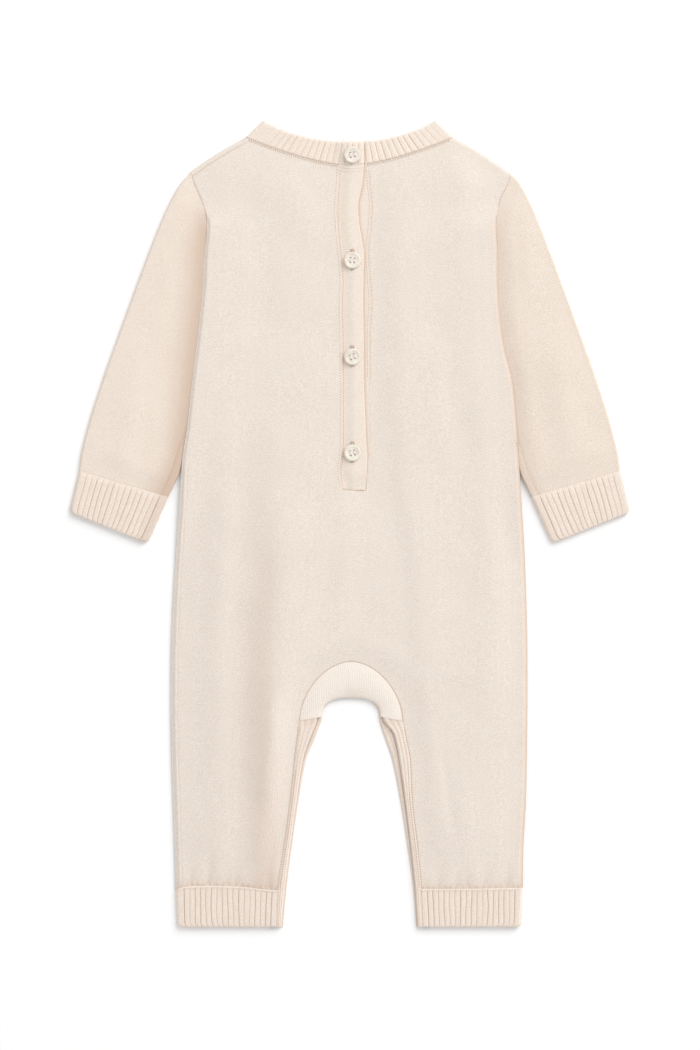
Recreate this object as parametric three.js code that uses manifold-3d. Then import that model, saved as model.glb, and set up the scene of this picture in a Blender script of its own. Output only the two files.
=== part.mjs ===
// A baby's one-piece romper in fine cotton jersey, laid flat on a surface with its back up.
// Lengths are millimetres and +Z is up. The origin is the middle of its outline, on the surface.
// Left and right are as seen from above with the neck at +Y. Each cut piece is a wall of its own.
import * as THREE from 'three';
import { mergeVertices } from 'three/addons/utils/BufferGeometryUtils.js';
import Module from 'manifold-3d';

const wasm = await Module();
wasm.setup();

// Driving sizes
const WALL = 1.4;
const SEAM_GAP = 0.3;
const BACK_LEVEL = WALL + SEAM_GAP;
const LAYERS = BACK_LEVEL + WALL;
const RIB_RISE = 0.6;
const HEM_Y = -247.2;
const CUFF_END_Y = -274;
const SHOULDER_TOP = { x: 70.6, y: 262.9 };
const SLEEVE_TUCK = LAYERS + SEAM_GAP;
const FOLD_ROUND = 3;
const LOFT = 1.5;
const SHOULDER_CROWN = 1.1;
// Space between a point of an arch and its neighbour piece, a little wider where the arch is faceted
const ARCH_GAP = SEAM_GAP + 0.1;

// Outer edge of the body: distance from the middle line on each side, from shoulder tip to hem
const SIDE = [
  { y: 239.5, left: 108.4, right: 109.4 },
  { y: 232, left: 105.9, right: 107.9 },
  { y: 222, left: 101.6, right: 103.0 },
  { y: 211, left: 97.8, right: 100.2 },
  { y: 200, left: 97.1, right: 99.9 },
  { y: 185, left: 98.6, right: 100.6 },
  { y: 160, left: 99.9, right: 100.9 },
  { y: 135, left: 102.6, right: 102.9 },
  { y: 118, left: 104.5, right: 105.6 },
  { y: 98, left: 107.1, right: 110.5 },
  { y: 70, left: 110.1, right: 113.4 },
  { y: 44, left: 113.8, right: 114.9 },
  { y: 17, left: 115.4, right: 116.7 },
  { y: -17, left: 117.8, right: 118.8 },
  { y: -50, left: 119.8, right: 120.1 },
  { y: -80, left: 121.0, right: 120.8 },
  { y: -120, left: 121.4, right: 120.9 },
  { y: -160, left: 120.8, right: 120.5 },
  { y: -190, left: 119.8, right: 119.8 },
  { y: -218, left: 118.9, right: 118.2 },
  { y: HEM_Y, left: 118.2, right: 117.7 },
];

// Inner leg on each side: the seam of the back's band, that band's free edge, and the edge of the
// front's band, which shows beyond it
const INSEAM = {
  left: [
    { y: -134, seam: 33.9, band: 22.0, edge: 19.4 },
    { y: -147, seam: 36.0, band: 27.4, edge: 24.2 },
    { y: -160, seam: 37.6, band: 31.6, edge: 29.6 },
    { y: -190, seam: 40.8, band: 36.3, edge: 35.1 },
    { y: -222, seam: 45.2, band: 40.7, edge: 39.8 },
    { y: -247, seam: 49.0, band: 44.0, edge: 43.0 },
    { y: CUFF_END_Y, seam: 50.2, band: 46.4, edge: 45.5 },
  ],
  right: [
    { y: -134, seam: 35.7, band: 23.6, edge: 20.0 },
    { y: -147, seam: 38.8, band: 31.0, edge: 24.5 },
    { y: -160, seam: 41.2, band: 33.6, edge: 28.9 },
    { y: -190, seam: 42.8, band: 37.8, edge: 34.8 },
    { y: -222, seam: 46.6, band: 41.7, edge: 39.7 },
    { y: -247, seam: 48.8, band: 44.4, edge: 43.1 },
    { y: CUFF_END_Y, seam: 50.2, band: 46.2, edge: 45.3 },
  ],
};
const FRONT_BAND_WIDTH = 9.5;

// Arches over the gap between the legs: a rounded arch about its own foot point
const GUSSET_SEAM = { x: 0.9, foot: -134, halfWidth: 35.1, rise: 40.7, power: 1.8 };
const GUSSET_EDGE = { x: 1.0, foot: -131, halfWidth: 19.7, rise: 12.7, power: 2.6 };
const FRONT_SEAM = { x: 0.3, foot: -134, halfWidth: 29.5, rise: 26.4, power: 2.2 };
const FRONT_EDGE = { x: 0.3, foot: -134, halfWidth: 19.7, rise: 16.7, power: 2.4 };
const ARCH_STEPS = [0, 0.045, 0.17, 0.37, 0.6, 0.82, 1];

// Sleeve: outer edge from shoulder to cuff, and the inner edge from underarm to cuff, whose first
// part lies under the body
const SLEEVE_OUTER = [
  { x: 109.2, y: 240.3 },
  { x: 115.0, y: 234.0 },
  { x: 122.2, y: 220.3 },
  { x: 128.0, y: 206.7 },
  { x: 138.4, y: 179.5 },
  { x: 148.5, y: 152.3 },
  { x: 158.4, y: 125.1 },
  { x: 168.0, y: 97.9 },
  { x: 176.7, y: 70.7 },
  { x: 182.6, y: 47.5 },
  { x: 184.0, y: 36.3 },
];
const SLEEVE_INNER = [
  { x: 74.6, y: 138.7 },
  { x: 88.0, y: 104.0 },
  { x: 101.0, y: 73.0 },
  { x: 110.4, y: 52.0 },
  { x: 116.2, y: 33.6 },
  { x: 123.4, y: 18.5 },
];
// Armhole of the sleeve: how far it stands out from the body's edge, or lies under it
const ARMHOLE = [
  { y: 238.6, out: 0.45 },
  { y: 227, out: 0.45 },
  { y: 214, out: 0.45 },
  { y: 204, out: 0.2 },
  { y: 190, out: -5 },
  { y: 170, out: -14 },
  { y: 153, out: -22 },
  { y: 138.7, out: -27.8 },
];
const SLEEVE_CUFF = {
  outerTop: { x: 184.0, y: 36.3 },
  innerTop: { x: 123.4, y: 18.5 },
  outerEnd: { x: 190.8, y: 8.0 },
  innerEnd: { x: 137.4, y: -13.2 },
  ribs: 15,
};
const CUFF_START = 0.016;
const LEG_CUFF = { ribs: 18, taper: 0.9 };
const RIB = { crestFrom: 0.3, crestTo: 0.72, riseFrom: 0.15, riseTo: 0.85 };

// The body rises over the sleeves that lie under it, and lies flat again towards the shoulders
const LIFT = { inside: 16, reach: 16, fadeFrom: 213, fadeTo: 238 };
const BELOW_SLEEVE = { x: 152, y: -40 };
// Distances over which the back rises from its seams, and the share of the rise left at the hem
const RISE = { side: 34, neck: 26, hem: 30, atHem: 0.35, slot: 26, leg: 18, arch: 24, blend: 12,
  onSleeve: 0.7 };
const SLEEVE_RISE = { clear: 2, reach: 20, ends: 0.12 };
const ARMHOLE_BEND = 0.3;

// Neckband: back and front halves, each between its free edge and its seam
const NECK_BACK = { edgeHalf: 59.2, edgeMid: 259.8, edgeRise: 14.2, edgePower: 2.2,
  seamHalf: 70.6, seamMid: 243.6, seamRise: 19.3, seamPower: 1.5, ribs: 32 };
const NECK_FRONT = { edgeHalf: 59.2, edgeMid: 231, edgeRise: 43, edgePower: 2.2,
  seamHalf: 70.6, seamMid: 215, seamRise: 47.9, seamPower: 2.2 };

// Button stand at the middle of the back: the slot in the panel, and the upper band's free edge
const SLOT = { left: -6.6, right: 13.8, bottom: 22.8, top: 243.2, middle: 3.6 };
const PLACKET_EDGE = [
  { y: 243.2, x: 9.9 },
  { y: 231, x: 8.6 },
  { y: 217, x: 5.9 },
  { y: 204, x: 6.6 },
  { y: 184, x: 9.7 },
  { y: 150, x: 9.3 },
  { y: 98, x: 9.8 },
  { y: 55, x: 11.2 },
  { y: 44, x: 12.1 },
  { y: 23.5, x: 10.8 },
];
const UNDER_BAND = { left: -2, right: 13.4, bottom: 23.5, rows: 9 };
const PLACKET_LEVEL = LAYERS + 0.4;
const PLACKET_EDGE_DROP = 0.35;
const BUTTON = { x: 1.9, radius: 5.6, foot: 4.4, waist: 1.32, thick: 2.4, crest: 5.05, slope: 3.6, dish: 0.7,
  holeRadius: 0.75, holeSpread: 1.4 };
const BUTTON_ROWS = [
  { y: 250.9, level: PLACKET_LEVEL + WALL + RIB_RISE + SEAM_GAP },
  { y: 179.2, level: PLACKET_LEVEL + WALL + SEAM_GAP },
  { y: 113.6, level: PLACKET_LEVEL + WALL + SEAM_GAP },
  { y: 48.3, level: PLACKET_LEVEL + WALL + SEAM_GAP },
];

// Soft folds: a crest through a few places going down, its height, and how far it reaches each way
const FOLDS = [
  { rise: 1.9, left: 9, right: 19, crest: [{ x: -52, y: 110 }, { x: -53, y: 30 }, { x: -48, y: -36 },
    { x: -54, y: -82 }, { x: -57, y: -160 }, { x: -48, y: -290 }] },
  { rise: 1.1, left: 13, right: 11, crest: [{ x: -86, y: 120 }, { x: -88, y: -80 }, { x: -84, y: -270 }] },
  { rise: 1.2, left: 8, right: 20, crest: [{ x: 27, y: 116 }, { x: 38, y: 26 }, { x: 50, y: -67 },
    { x: 54, y: -146 }] },
  { rise: 1.1, left: 11, right: 11, crest: [{ x: 86, y: 226 }, { x: 91, y: 122 }, { x: 101, y: -2 },
    { x: 100, y: -160 }] },
  { rise: 0.9, left: 15, right: 9, crest: [{ x: -44, y: 256 }, { x: -34, y: 222 }, { x: -18, y: 176 }] },
  { rise: 0.5, left: 10, right: 22, crest: [{ x: 17, y: 236 }, { x: 20, y: 160 }, { x: 16, y: 80 }] },
  { rise: 0.5, left: 8, right: 10, crest: [{ x: 74, y: -140 }, { x: 80, y: -200 }, { x: 82, y: -272 }] },
  { rise: 0.6, left: 9, right: 11, crest: [{ x: -118, y: 236 }, { x: -124, y: 180 }, { x: -132, y: 116 }] },
  { rise: 0.7, left: 8, right: 12, crest: [{ x: -146, y: 140 }, { x: -150, y: 80 }, { x: -159, y: 14 }] },
  { rise: 0.9, left: 7, right: 12, crest: [{ x: 121, y: 232 }, { x: 122, y: 196 }, { x: 125, y: 140 }] },
  { rise: 0.6, left: 10, right: 12, crest: [{ x: 135, y: 156 }, { x: 146, y: 100 }, { x: 153, y: 34 }] },
];
const FOLD_FADE = 46;

const JERSEY = { color: 0xefe2d8, roughness: 0.95, metalness: 0 };
const SLEEVE_JERSEY = { color: 0xefe1d6, roughness: 0.95, metalness: 0 };
const RIBBING = { color: 0xecddcf, roughness: 0.96, metalness: 0 };
const GUSSET_JERSEY = { color: 0xf4e8de, roughness: 0.94, metalness: 0 };
const SHELL_BUTTON = { color: 0xf0e8de, roughness: 0.35, metalness: 0 };

const romper = new THREE.Group();

// Small helpers
function lerp(a, b, t) {
  return a + (b - a) * t;
}

function soft(from, to, value) {
  const t = Math.min(1, Math.max(0, (value - from) / (to - from)));
  return t * t * (3 - 2 * t);
}

// Smooth value of one column of a table at a given y, the rows going down in y
function atY(rows, y, column) {
  let i = 0;
  while (i < rows.length - 2 && y < rows[i + 1].y) i += 1;
  const before = rows[Math.max(0, i - 1)];
  const a = rows[i];
  const b = rows[i + 1];
  const after = rows[Math.min(rows.length - 1, i + 2)];
  const span = b.y - a.y;
  const t = Math.min(1, Math.max(0, (y - a.y) / span));
  const slopeA = span * (b[column] - before[column]) / (b.y - before.y);
  const slopeB = span * (after[column] - a[column]) / (after.y - a.y);
  const t2 = t * t;
  const t3 = t2 * t;
  return a[column] * (2 * t3 - 3 * t2 + 1) + slopeA * (t3 - 2 * t2 + t)
    + b[column] * (3 * t2 - 2 * t3) + slopeB * (t3 - t2);
}

// Point at a share of the way along a line of points
function alongLine(points, share) {
  const lengths = points.slice(1).map((p, i) => Math.hypot(p.x - points[i].x, p.y - points[i].y));
  let rest = share * lengths.reduce((sum, length) => sum + length, 0);
  for (let i = 0; i < lengths.length; i += 1) {
    if (rest <= lengths[i] || i === lengths.length - 1) {
      const t = Math.min(1, rest / lengths[i]);
      return { x: lerp(points[i].x, points[i + 1].x, t), y: lerp(points[i].y, points[i + 1].y, t) };
    }
    rest -= lengths[i];
  }
  return points[points.length - 1];
}

function sideName(side) {
  return side < 0 ? 'left' : 'right';
}

function edgeOfBody(side, y) {
  return atY(SIDE, y, sideName(side));
}

function inseam(side, y, what) {
  return atY(INSEAM[sideName(side)], y, what);
}

// Half width of a rounded arch at a height above its foot
function archHalf(arch, y) {
  const share = Math.min(1, Math.max(0, (y - arch.foot) / arch.rise));
  return arch.halfWidth * (1 - share ** arch.power) ** (1 / arch.power);
}

function archRows(arch) {
  return ARCH_STEPS.map((step) => arch.foot + arch.rise * (1 - step));
}

// Height of the shoulder and neck line of a panel at x
function topLine(neck, x) {
  const across = Math.abs(x);
  if (across <= SHOULDER_TOP.x) {
    return neck.seamMid + neck.seamRise * (across / neck.seamHalf) ** neck.seamPower - SEAM_GAP;
  }
  const tip = SIDE[0];
  const t = (across - SHOULDER_TOP.x) / (Math.min(tip.left, tip.right) - SHOULDER_TOP.x);
  return lerp(SHOULDER_TOP.y - SEAM_GAP, tip.y, t) + SHOULDER_CROWN * Math.sin(Math.PI * Math.min(1, t));
}

// How far from the middle the inner edge of the sleeve under the body lies at a height
const HIDDEN_SLEEVE = [...SLEEVE_INNER, SLEEVE_CUFF.innerEnd, BELOW_SLEEVE];

function hiddenSleeveX(y) {
  if (y > SLEEVE_INNER[0].y) return edgeOfBody(1, y) + atY(ARMHOLE, y, 'out');
  return atY(HIDDEN_SLEEVE, y, 'x');
}

// How much the body is raised where a sleeve lies under it
function sleeveLift(x, y) {
  const full = hiddenSleeveX(y) - LIFT.inside;
  const sideways = soft(full - LIFT.reach, full, Math.abs(x));
  const down = 1 - soft(LIFT.fadeFrom, LIFT.fadeTo, y);
  return SLEEVE_TUCK * sideways * down;
}

function foldRise(x, y) {
  let rise = 0;
  for (const fold of FOLDS) {
    const fromEnds = Math.min(fold.crest[0].y - y, y - fold.crest[fold.crest.length - 1].y);
    const away = x - atY(fold.crest, y, 'x');
    const reach = away < 0 ? fold.left : fold.right;
    rise += fold.rise * soft(0, FOLD_FADE, fromEnds) * Math.exp(-((away / reach) ** 2));
  }
  return rise;
}

// Share of the back's rise beside the slot of the button stand, and all round below it
function riseBesideSlot(x, y) {
  const beside = Math.max(1 - soft(SLOT.left, SLOT.right, x), soft(SLOT.right, SLOT.right + RISE.slot, x));
  const atSlot = soft(SLOT.bottom - RISE.slot, SLOT.bottom, y);
  return lerp(1, beside, atSlot);
}

// Share of the back's rise beside the inner legs and round the crotch
function riseBesideCrotch(x, y) {
  const side = x < 0 ? -1 : 1;
  const besideLeg = soft(0, RISE.leg, Math.abs(x) - inseam(side, y, 'seam'));
  const fromArch = Math.hypot(x - GUSSET_SEAM.x, y - GUSSET_SEAM.foot) - GUSSET_SEAM.halfWidth;
  const besideArch = soft(0, RISE.arch, fromArch);
  const overFoot = soft(GUSSET_SEAM.foot - RISE.blend, GUSSET_SEAM.foot + RISE.blend, y);
  return lerp(besideLeg, besideArch, overFoot);
}

// Extra height of the back panel over the level of its seams
function backLoft(x, y) {
  const side = x < 0 ? -1 : 1;
  const fromSide = soft(0, RISE.side, edgeOfBody(side, y) - Math.abs(x));
  const fromNeck = soft(0, RISE.neck, topLine(NECK_BACK, x) - y);
  const fromHem = lerp(RISE.atHem, 1, soft(0, RISE.hem, y - HEM_Y));
  const free = fromSide * fromNeck * riseBesideSlot(x, y) * riseBesideCrotch(x, y);
  const resting = 1 - RISE.onSleeve * sleeveLift(x, y) / SLEEVE_TUCK;
  return Math.max(0, free * resting * (LOFT * fromHem + foldRise(x, y)));
}

// A wall between an outer and an inner skin of matching points, closed along every free edge
class Wall {
  constructor() {
    this.outer = [];
    this.inner = [];
    this.quads = [];
    this.ids = new Map();
  }

  id(point) {
    const key = point.outer.map((value) => Math.round(value * 500)).join(' ');
    if (!this.ids.has(key)) {
      this.ids.set(key, this.outer.length);
      this.outer.push(point.outer);
      this.inner.push(point.inner);
    }
    return this.ids.get(key);
  }

  grid(rows, closed = false) {
    for (let j = 0; j < rows.length - 1; j += 1) {
      const count = rows[j].length;
      for (let i = 0; i < (closed ? count : count - 1); i += 1) {
        const k = (i + 1) % count;
        this.quads.push([rows[j][i], rows[j][k], rows[j + 1][k], rows[j + 1][i]].map((p) => this.id(p)));
      }
    }
    return this;
  }

  geometry() {
    const base = this.outer.length;
    const triangles = [];
    const directed = new Set();
    for (const quad of this.quads) {
      const [a, b, c, d] = quad;
      triangles.push([a, b, c], [a, c, d]);
      triangles.push([base + a, base + c, base + b], [base + a, base + d, base + c]);
      quad.forEach((from, i) => directed.add(`${from} ${quad[(i + 1) % 4]}`));
    }
    for (const edge of directed) {
      const [a, b] = edge.split(' ').map(Number);
      if (!directed.has(`${b} ${a}`)) triangles.push([b, a, base + a], [b, base + a, base + b]);
    }
    const points = this.outer.concat(this.inner).map((p) => new THREE.Vector3(...p));
    let volume = 0;
    for (const [a, b, c] of triangles) {
      volume += points[a].dot(new THREE.Vector3().crossVectors(points[b], points[c]));
    }
    const order = volume < 0 ? triangles.map(([a, b, c]) => [a, c, b]) : triangles;
    const geometry = new THREE.BufferGeometry();
    const numbers = points.flatMap((p) => p.toArray());
    geometry.setAttribute('position', new THREE.Float32BufferAttribute(numbers, 3));
    geometry.setIndex(order.flat());
    geometry.computeVertexNormals();
    return geometry;
  }
}

function addPiece(name, geometry, finish) {
  const mesh = new THREE.Mesh(geometry, new THREE.MeshStandardMaterial(finish));
  mesh.name = name;
  romper.add(mesh);
  return mesh;
}

// Front and back panels
const EDGE_INSETS = [0, 1.2, FOLD_ROUND];
const PANEL_SHARES = [0.13, 0.25, 0.352, 0.45, 0.55, 0.64, 0.74, 0.87, 1];
const TOP_BASE_Y = 190;
const TOP_STEPS = [0.12, 0.25, 0.38, 0.6];
const TORSO_ROWS = [170, 148, 126, 104, 82, 60, 40];
const BELLY_ROWS = [2, -20, -42, -62, -80];
const LEG_ROWS = [-136.4, -147, -160, -176, -192, -210, -230, HEM_Y];
const SIDE_ROUND = { from: 212, to: 203 };
const BELLY_CLEAR = 6;
const SLOT_STEP = 0.3;
const SLOT_GUIDE = 64;

// How far a rounded edge has come down at an inset from its fold
function roundDrop(inset) {
  const across = Math.max(0, 1 - inset / FOLD_ROUND);
  return WALL * (1 - Math.sqrt(1 - across * across));
}

function innerStep(inset) {
  return WALL * Math.max(0, 1 - inset / FOLD_ROUND);
}

function innerEdgeX(panel, side, y) {
  if (y > SLOT.bottom && panel.slotted) return side < 0 ? SLOT.left : SLOT.right;
  const arch = panel.arch;
  const archTop = arch.foot + arch.rise;
  if (y >= archTop) {
    if (!panel.slotted) return arch.x;
    return lerp(SLOT.middle, arch.x, (SLOT.bottom - y) / (SLOT.bottom - archTop));
  }
  if (y >= arch.foot) return arch.x + side * archHalf(arch, y);
  return side * panel.inseamX(side, y);
}

function panelPoint(panel, side, spot, sideInset, sideRound, topInset, topRound) {
  const lift = sleeveLift(spot.x, spot.y);
  const drop = Math.max(sideRound * roundDrop(sideInset), topRound * roundDrop(topInset));
  const innerX = spot.x - side * sideRound * innerStep(sideInset);
  const innerY = spot.y - topRound * innerStep(topInset);
  if (panel.isBack) {
    const level = BACK_LEVEL + lift + backLoft(spot.x, spot.y);
    return { outer: [spot.x, spot.y, level + WALL - drop], inner: [innerX, innerY, level] };
  }
  return { outer: [spot.x, spot.y, lift + drop], inner: [innerX, innerY, lift + WALL] };
}

// Below the slot the columns keep to the line of its edge and come back to the middle gradually
function guideX(panel, side, y) {
  const innerX = innerEdgeX(panel, side, y);
  if (!panel.slotted || y > SLOT.bottom) return innerX;
  const slotX = side < 0 ? SLOT.left : SLOT.right;
  return lerp(slotX, innerX, soft(0, SLOT_GUIDE, SLOT.bottom - y));
}

// Columns of one row: x places from the body's edge to the inner edge
function columnPlaces(outerX, innerX, side, guide = innerX) {
  const places = EDGE_INSETS.map((inset) => ({ x: outerX - side * inset, inset }));
  const start = outerX - side * FOLD_ROUND;
  for (const share of PANEL_SHARES) {
    places.push({ x: lerp(start, share === 1 ? innerX : guide, share), inset: FOLD_ROUND });
  }
  return places;
}

function panelHalf(panel, side) {
  const rows = [];
  const tipX = side * edgeOfBody(side, SIDE[0].y);
  const topPlaces = columnPlaces(tipX, innerEdgeX(panel, side, TOP_BASE_Y), side);
  const topRow = (share, inset) => {
    const edgeY = lerp(SIDE[0].y - inset, TOP_BASE_Y, share);
    const places = columnPlaces(side * edgeOfBody(side, edgeY), innerEdgeX(panel, side, edgeY), side);
    return places.map((place, i) => {
      const y = lerp(topLine(panel.neck, topPlaces[i].x) - inset, TOP_BASE_Y, share);
      const onShoulder = Math.abs(topPlaces[i].x) > SHOULDER_TOP.x + 1 ? 1 : 0;
      return panelPoint(panel, side, { x: place.x, y }, FOLD_ROUND, 0, inset, onShoulder);
    });
  };
  for (const inset of EDGE_INSETS) rows.push(topRow(0, inset));
  for (const share of TOP_STEPS) rows.push(topRow(share, FOLD_ROUND));
  const slotRows = panel.slotted ? [SLOT.bottom + SLOT_STEP, SLOT.bottom] : [SLOT.bottom];
  const archTop = panel.arch.foot + panel.arch.rise;
  const belly = BELLY_ROWS.filter((y) => y > archTop + BELLY_CLEAR);
  const levels = [TOP_BASE_Y, ...TORSO_ROWS, ...slotRows, ...belly, ...archRows(panel.arch), ...LEG_ROWS];
  for (const y of levels) {
    const round = soft(SIDE_ROUND.from, SIDE_ROUND.to, y);
    const outerX = side * edgeOfBody(side, y);
    const places = columnPlaces(outerX, innerEdgeX(panel, side, y), side, guideX(panel, side, y));
    rows.push(places.map((p) => panelPoint(panel, side, { x: p.x, y }, p.inset, round, FOLD_ROUND, 0)));
  }
  return side < 0 ? rows : rows.map((row) => row.slice().reverse());
}

const BACK_PANEL = {
  isBack: true,
  slotted: true,
  neck: NECK_BACK,
  arch: GUSSET_SEAM,
  inseamX: (side, y) => inseam(side, y, 'seam') + SEAM_GAP,
};
const FRONT_PANEL = {
  isBack: false,
  slotted: false,
  neck: NECK_FRONT,
  arch: FRONT_SEAM,
  inseamX: (side, y) => inseam(side, y, 'edge') + FRONT_BAND_WIDTH + SEAM_GAP,
};

for (const [name, panel] of [['back_panel', BACK_PANEL], ['front_panel', FRONT_PANEL]]) {
  const wall = new Wall().grid(panelHalf(panel, -1)).grid(panelHalf(panel, 1));
  addPiece(name, wall.geometry(), JERSEY);
}

// Flattened tubes: each station is a ring over the top, round a fold, back underneath and round
// the other fold. Both folds are half circles of the tube's height.
const ARC_ANGLES = [30, 65, 90, 115, 150];
const INWARD_LOOK = 0.1;

function foldArc(foldPoint, inward, height, level) {
  return ARC_ANGLES.map((angle) => {
    const turn = THREE.MathUtils.degToRad(angle);
    const outerRadius = height / 2;
    const innerRadius = height / 2 - WALL;
    const centre = { x: foldPoint.x + inward.x * outerRadius, y: foldPoint.y + inward.y * outerRadius };
    const place = (radius) => [
      centre.x - inward.x * radius * Math.sin(turn),
      centre.y - inward.y * radius * Math.sin(turn),
      level + height / 2 + radius * Math.cos(turn),
    ];
    return { outer: place(outerRadius), inner: place(innerRadius) };
  });
}

function inwardOf(from, to) {
  const length = Math.hypot(to.x - from.x, to.y - from.y);
  return { x: (to.x - from.x) / length, y: (to.y - from.y) / length };
}

// One ring of a flattened tube, its top path carrying a loft and ribs
function tubeRing(path, topShares, bottomShares, loftAt, ribAt, open = false) {
  const start = path(0);
  const end = path(1);
  const half = LAYERS / 2;
  const inwardStart = inwardOf(start, path(INWARD_LOOK));
  const inwardEnd = inwardOf(end, path(1 - INWARD_LOOK));
  const length = Math.hypot(end.x - start.x, end.y - start.y);
  const clear = half / length;
  const place = (share) => path(lerp(clear, open ? 1 : 1 - clear, share));
  const top = topShares.map((share) => {
    const spot = place(share);
    const loft = loftAt(spot, share);
    return {
      outer: [spot.x, spot.y, LAYERS + loft + ribAt(share)],
      inner: [spot.x, spot.y, BACK_LEVEL + loft],
    };
  });
  const bottom = bottomShares.map((share) => {
    const spot = place(share);
    return { outer: [spot.x, spot.y, 0], inner: [spot.x, spot.y, WALL] };
  });
  const startArc = foldArc(start, inwardStart, LAYERS, 0);
  if (open) return [...top.slice().reverse(), ...startArc, ...bottom];
  const endArc = foldArc(end, inwardEnd, LAYERS, 0);
  return [...top, ...endArc, ...bottom.slice().reverse(), ...startArc.slice().reverse()];
}

// Shares across a ribbed stretch: three points to a rib, the first in the groove
function ribShares(ribs) {
  const shares = [];
  for (let i = 0; i < ribs; i += 1) {
    shares.push(i / ribs, (i + RIB.crestFrom) / ribs, (i + RIB.crestTo) / ribs);
  }
  shares.push(1);
  return shares;
}

function ribProfile(ribs) {
  return (share) => {
    const phase = (share * ribs) % 1;
    return phase > RIB.riseFrom && phase < RIB.riseTo ? RIB_RISE : 0;
  };
}

// Sleeves
const SLEEVE_STATIONS = 13;
const SLEEVE_TOP_SHARES = [0, 0.06, 0.12, 0.18, 0.25, 0.34, 0.5, 0.67, 0.84, 1];
const SLEEVE_BOTTOM_SHARES = [0, 0.06, 0.12, 0.18, 0.25, 0.34, 0.6, 1];

function armholePoint(side, share) {
  const y = lerp(ARMHOLE[0].y, ARMHOLE[ARMHOLE.length - 1].y, share);
  return { x: edgeOfBody(side, y) + atY(ARMHOLE, y, 'out'), y };
}

function sleevePath(side, along) {
  const outer = alongLine(SLEEVE_OUTER, along);
  const inner = alongLine(SLEEVE_INNER, along);
  const first = SLEEVE_OUTER[0];
  const last = SLEEVE_INNER[0];
  const bend = Math.max(0, 1 - along / ARMHOLE_BEND) ** 2;
  return (share) => {
    const hole = armholePoint(side, share);
    const x = lerp(outer.x, inner.x, share) + bend * (hole.x - lerp(first.x, last.x, share));
    const y = lerp(outer.y, inner.y, share) + bend * (hole.y - lerp(first.y, last.y, share));
    return { x: side * x, y };
  };
}

function sleeveLoft(side, along) {
  return (spot, share) => {
    const beyond = Math.abs(spot.x) - edgeOfBody(side, spot.y);
    const clear = soft(0, SLEEVE_RISE.reach, beyond - SLEEVE_RISE.clear);
    const ends = soft(0, SLEEVE_RISE.ends, along);
    return Math.max(0, clear * ends * Math.sin(Math.PI * share) * (LOFT + foldRise(spot.x, spot.y)));
  };
}

function cuffPath(side, along) {
  const outer = { x: lerp(SLEEVE_CUFF.outerTop.x, SLEEVE_CUFF.outerEnd.x, along),
    y: lerp(SLEEVE_CUFF.outerTop.y, SLEEVE_CUFF.outerEnd.y, along) };
  const inner = { x: lerp(SLEEVE_CUFF.innerTop.x, SLEEVE_CUFF.innerEnd.x, along),
    y: lerp(SLEEVE_CUFF.innerTop.y, SLEEVE_CUFF.innerEnd.y, along) };
  return (share) => ({ x: side * lerp(outer.x, inner.x, share), y: lerp(outer.y, inner.y, share) });
}

for (const side of [-1, 1]) {
  const stations = [];
  for (let i = 0; i <= SLEEVE_STATIONS; i += 1) {
    const along = i / SLEEVE_STATIONS;
    stations.push(tubeRing(sleevePath(side, along), SLEEVE_TOP_SHARES, SLEEVE_BOTTOM_SHARES,
      sleeveLoft(side, along), () => 0));
  }
  addPiece(`sleeve_${sideName(side)}`, new Wall().grid(stations, true).geometry(), SLEEVE_JERSEY);

  const shares = ribShares(SLEEVE_CUFF.ribs);
  const ribbed = ribProfile(SLEEVE_CUFF.ribs);
  const cuffRings = [CUFF_START, 0.5, 1].map((along) => (
    tubeRing(cuffPath(side, along), shares, [0, 0.5, 1], () => 0, ribbed)));
  addPiece(`sleeve_cuff_${sideName(side)}`, new Wall().grid(cuffRings, true).geometry(), RIBBING);
}

// Leg cuffs are open at the inner leg, where the bands close them
for (const side of [-1, 1]) {
  const shares = ribShares(LEG_CUFF.ribs);
  const rings = [0, 0.5, 1].map((along) => {
    const y = lerp(HEM_Y - SEAM_GAP, CUFF_END_Y, along);
    const outerX = edgeOfBody(side, HEM_Y) - LEG_CUFF.taper * along;
    const topX = BACK_PANEL.inseamX(side, y);
    const bottomX = FRONT_PANEL.inseamX(side, y);
    const topPath = (share) => ({ x: side * lerp(outerX, topX, share), y });
    const ring = tubeRing(topPath, shares, [0, 0.5, 1], () => 0, ribProfile(LEG_CUFF.ribs), true);
    const last = ring[ring.length - 1];
    last.outer[0] = side * bottomX;
    last.inner[0] = side * bottomX;
    return ring;
  });
  addPiece(`leg_cuff_${sideName(side)}`, new Wall().grid(rings).geometry(), RIBBING);
}

// Neckband: one ribbed strip from its lower end at the button stand, round the right shoulder,
// across the front, round the left shoulder and back to its upper end
const NECK_STATIONS = [0, 0.5, 1];
const NECK_UNDER_END = -2;
const NECK_UPPER_END = 9.6;
const NECK_END_CLEAR = 1.5;
const NECK_CLIMB = { from: -0.36, to: -0.1 };
const NECK_CORNER = 0.02;

function neckPoint(neck, across, down) {
  const share = Math.abs(across);
  const edge = { x: neck.edgeHalf * across, y: neck.edgeMid + neck.edgeRise * share ** neck.edgePower };
  const seam = { x: neck.seamHalf * across, y: neck.seamMid + neck.seamRise * share ** neck.seamPower };
  return { x: lerp(edge.x, seam.x, down), y: lerp(edge.y, seam.y, down) };
}

function neckLevel(across, upper) {
  if (!upper) return BACK_LEVEL;
  return lerp(BACK_LEVEL, PLACKET_LEVEL, soft(NECK_CLIMB.from, NECK_CLIMB.to, across));
}

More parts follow.
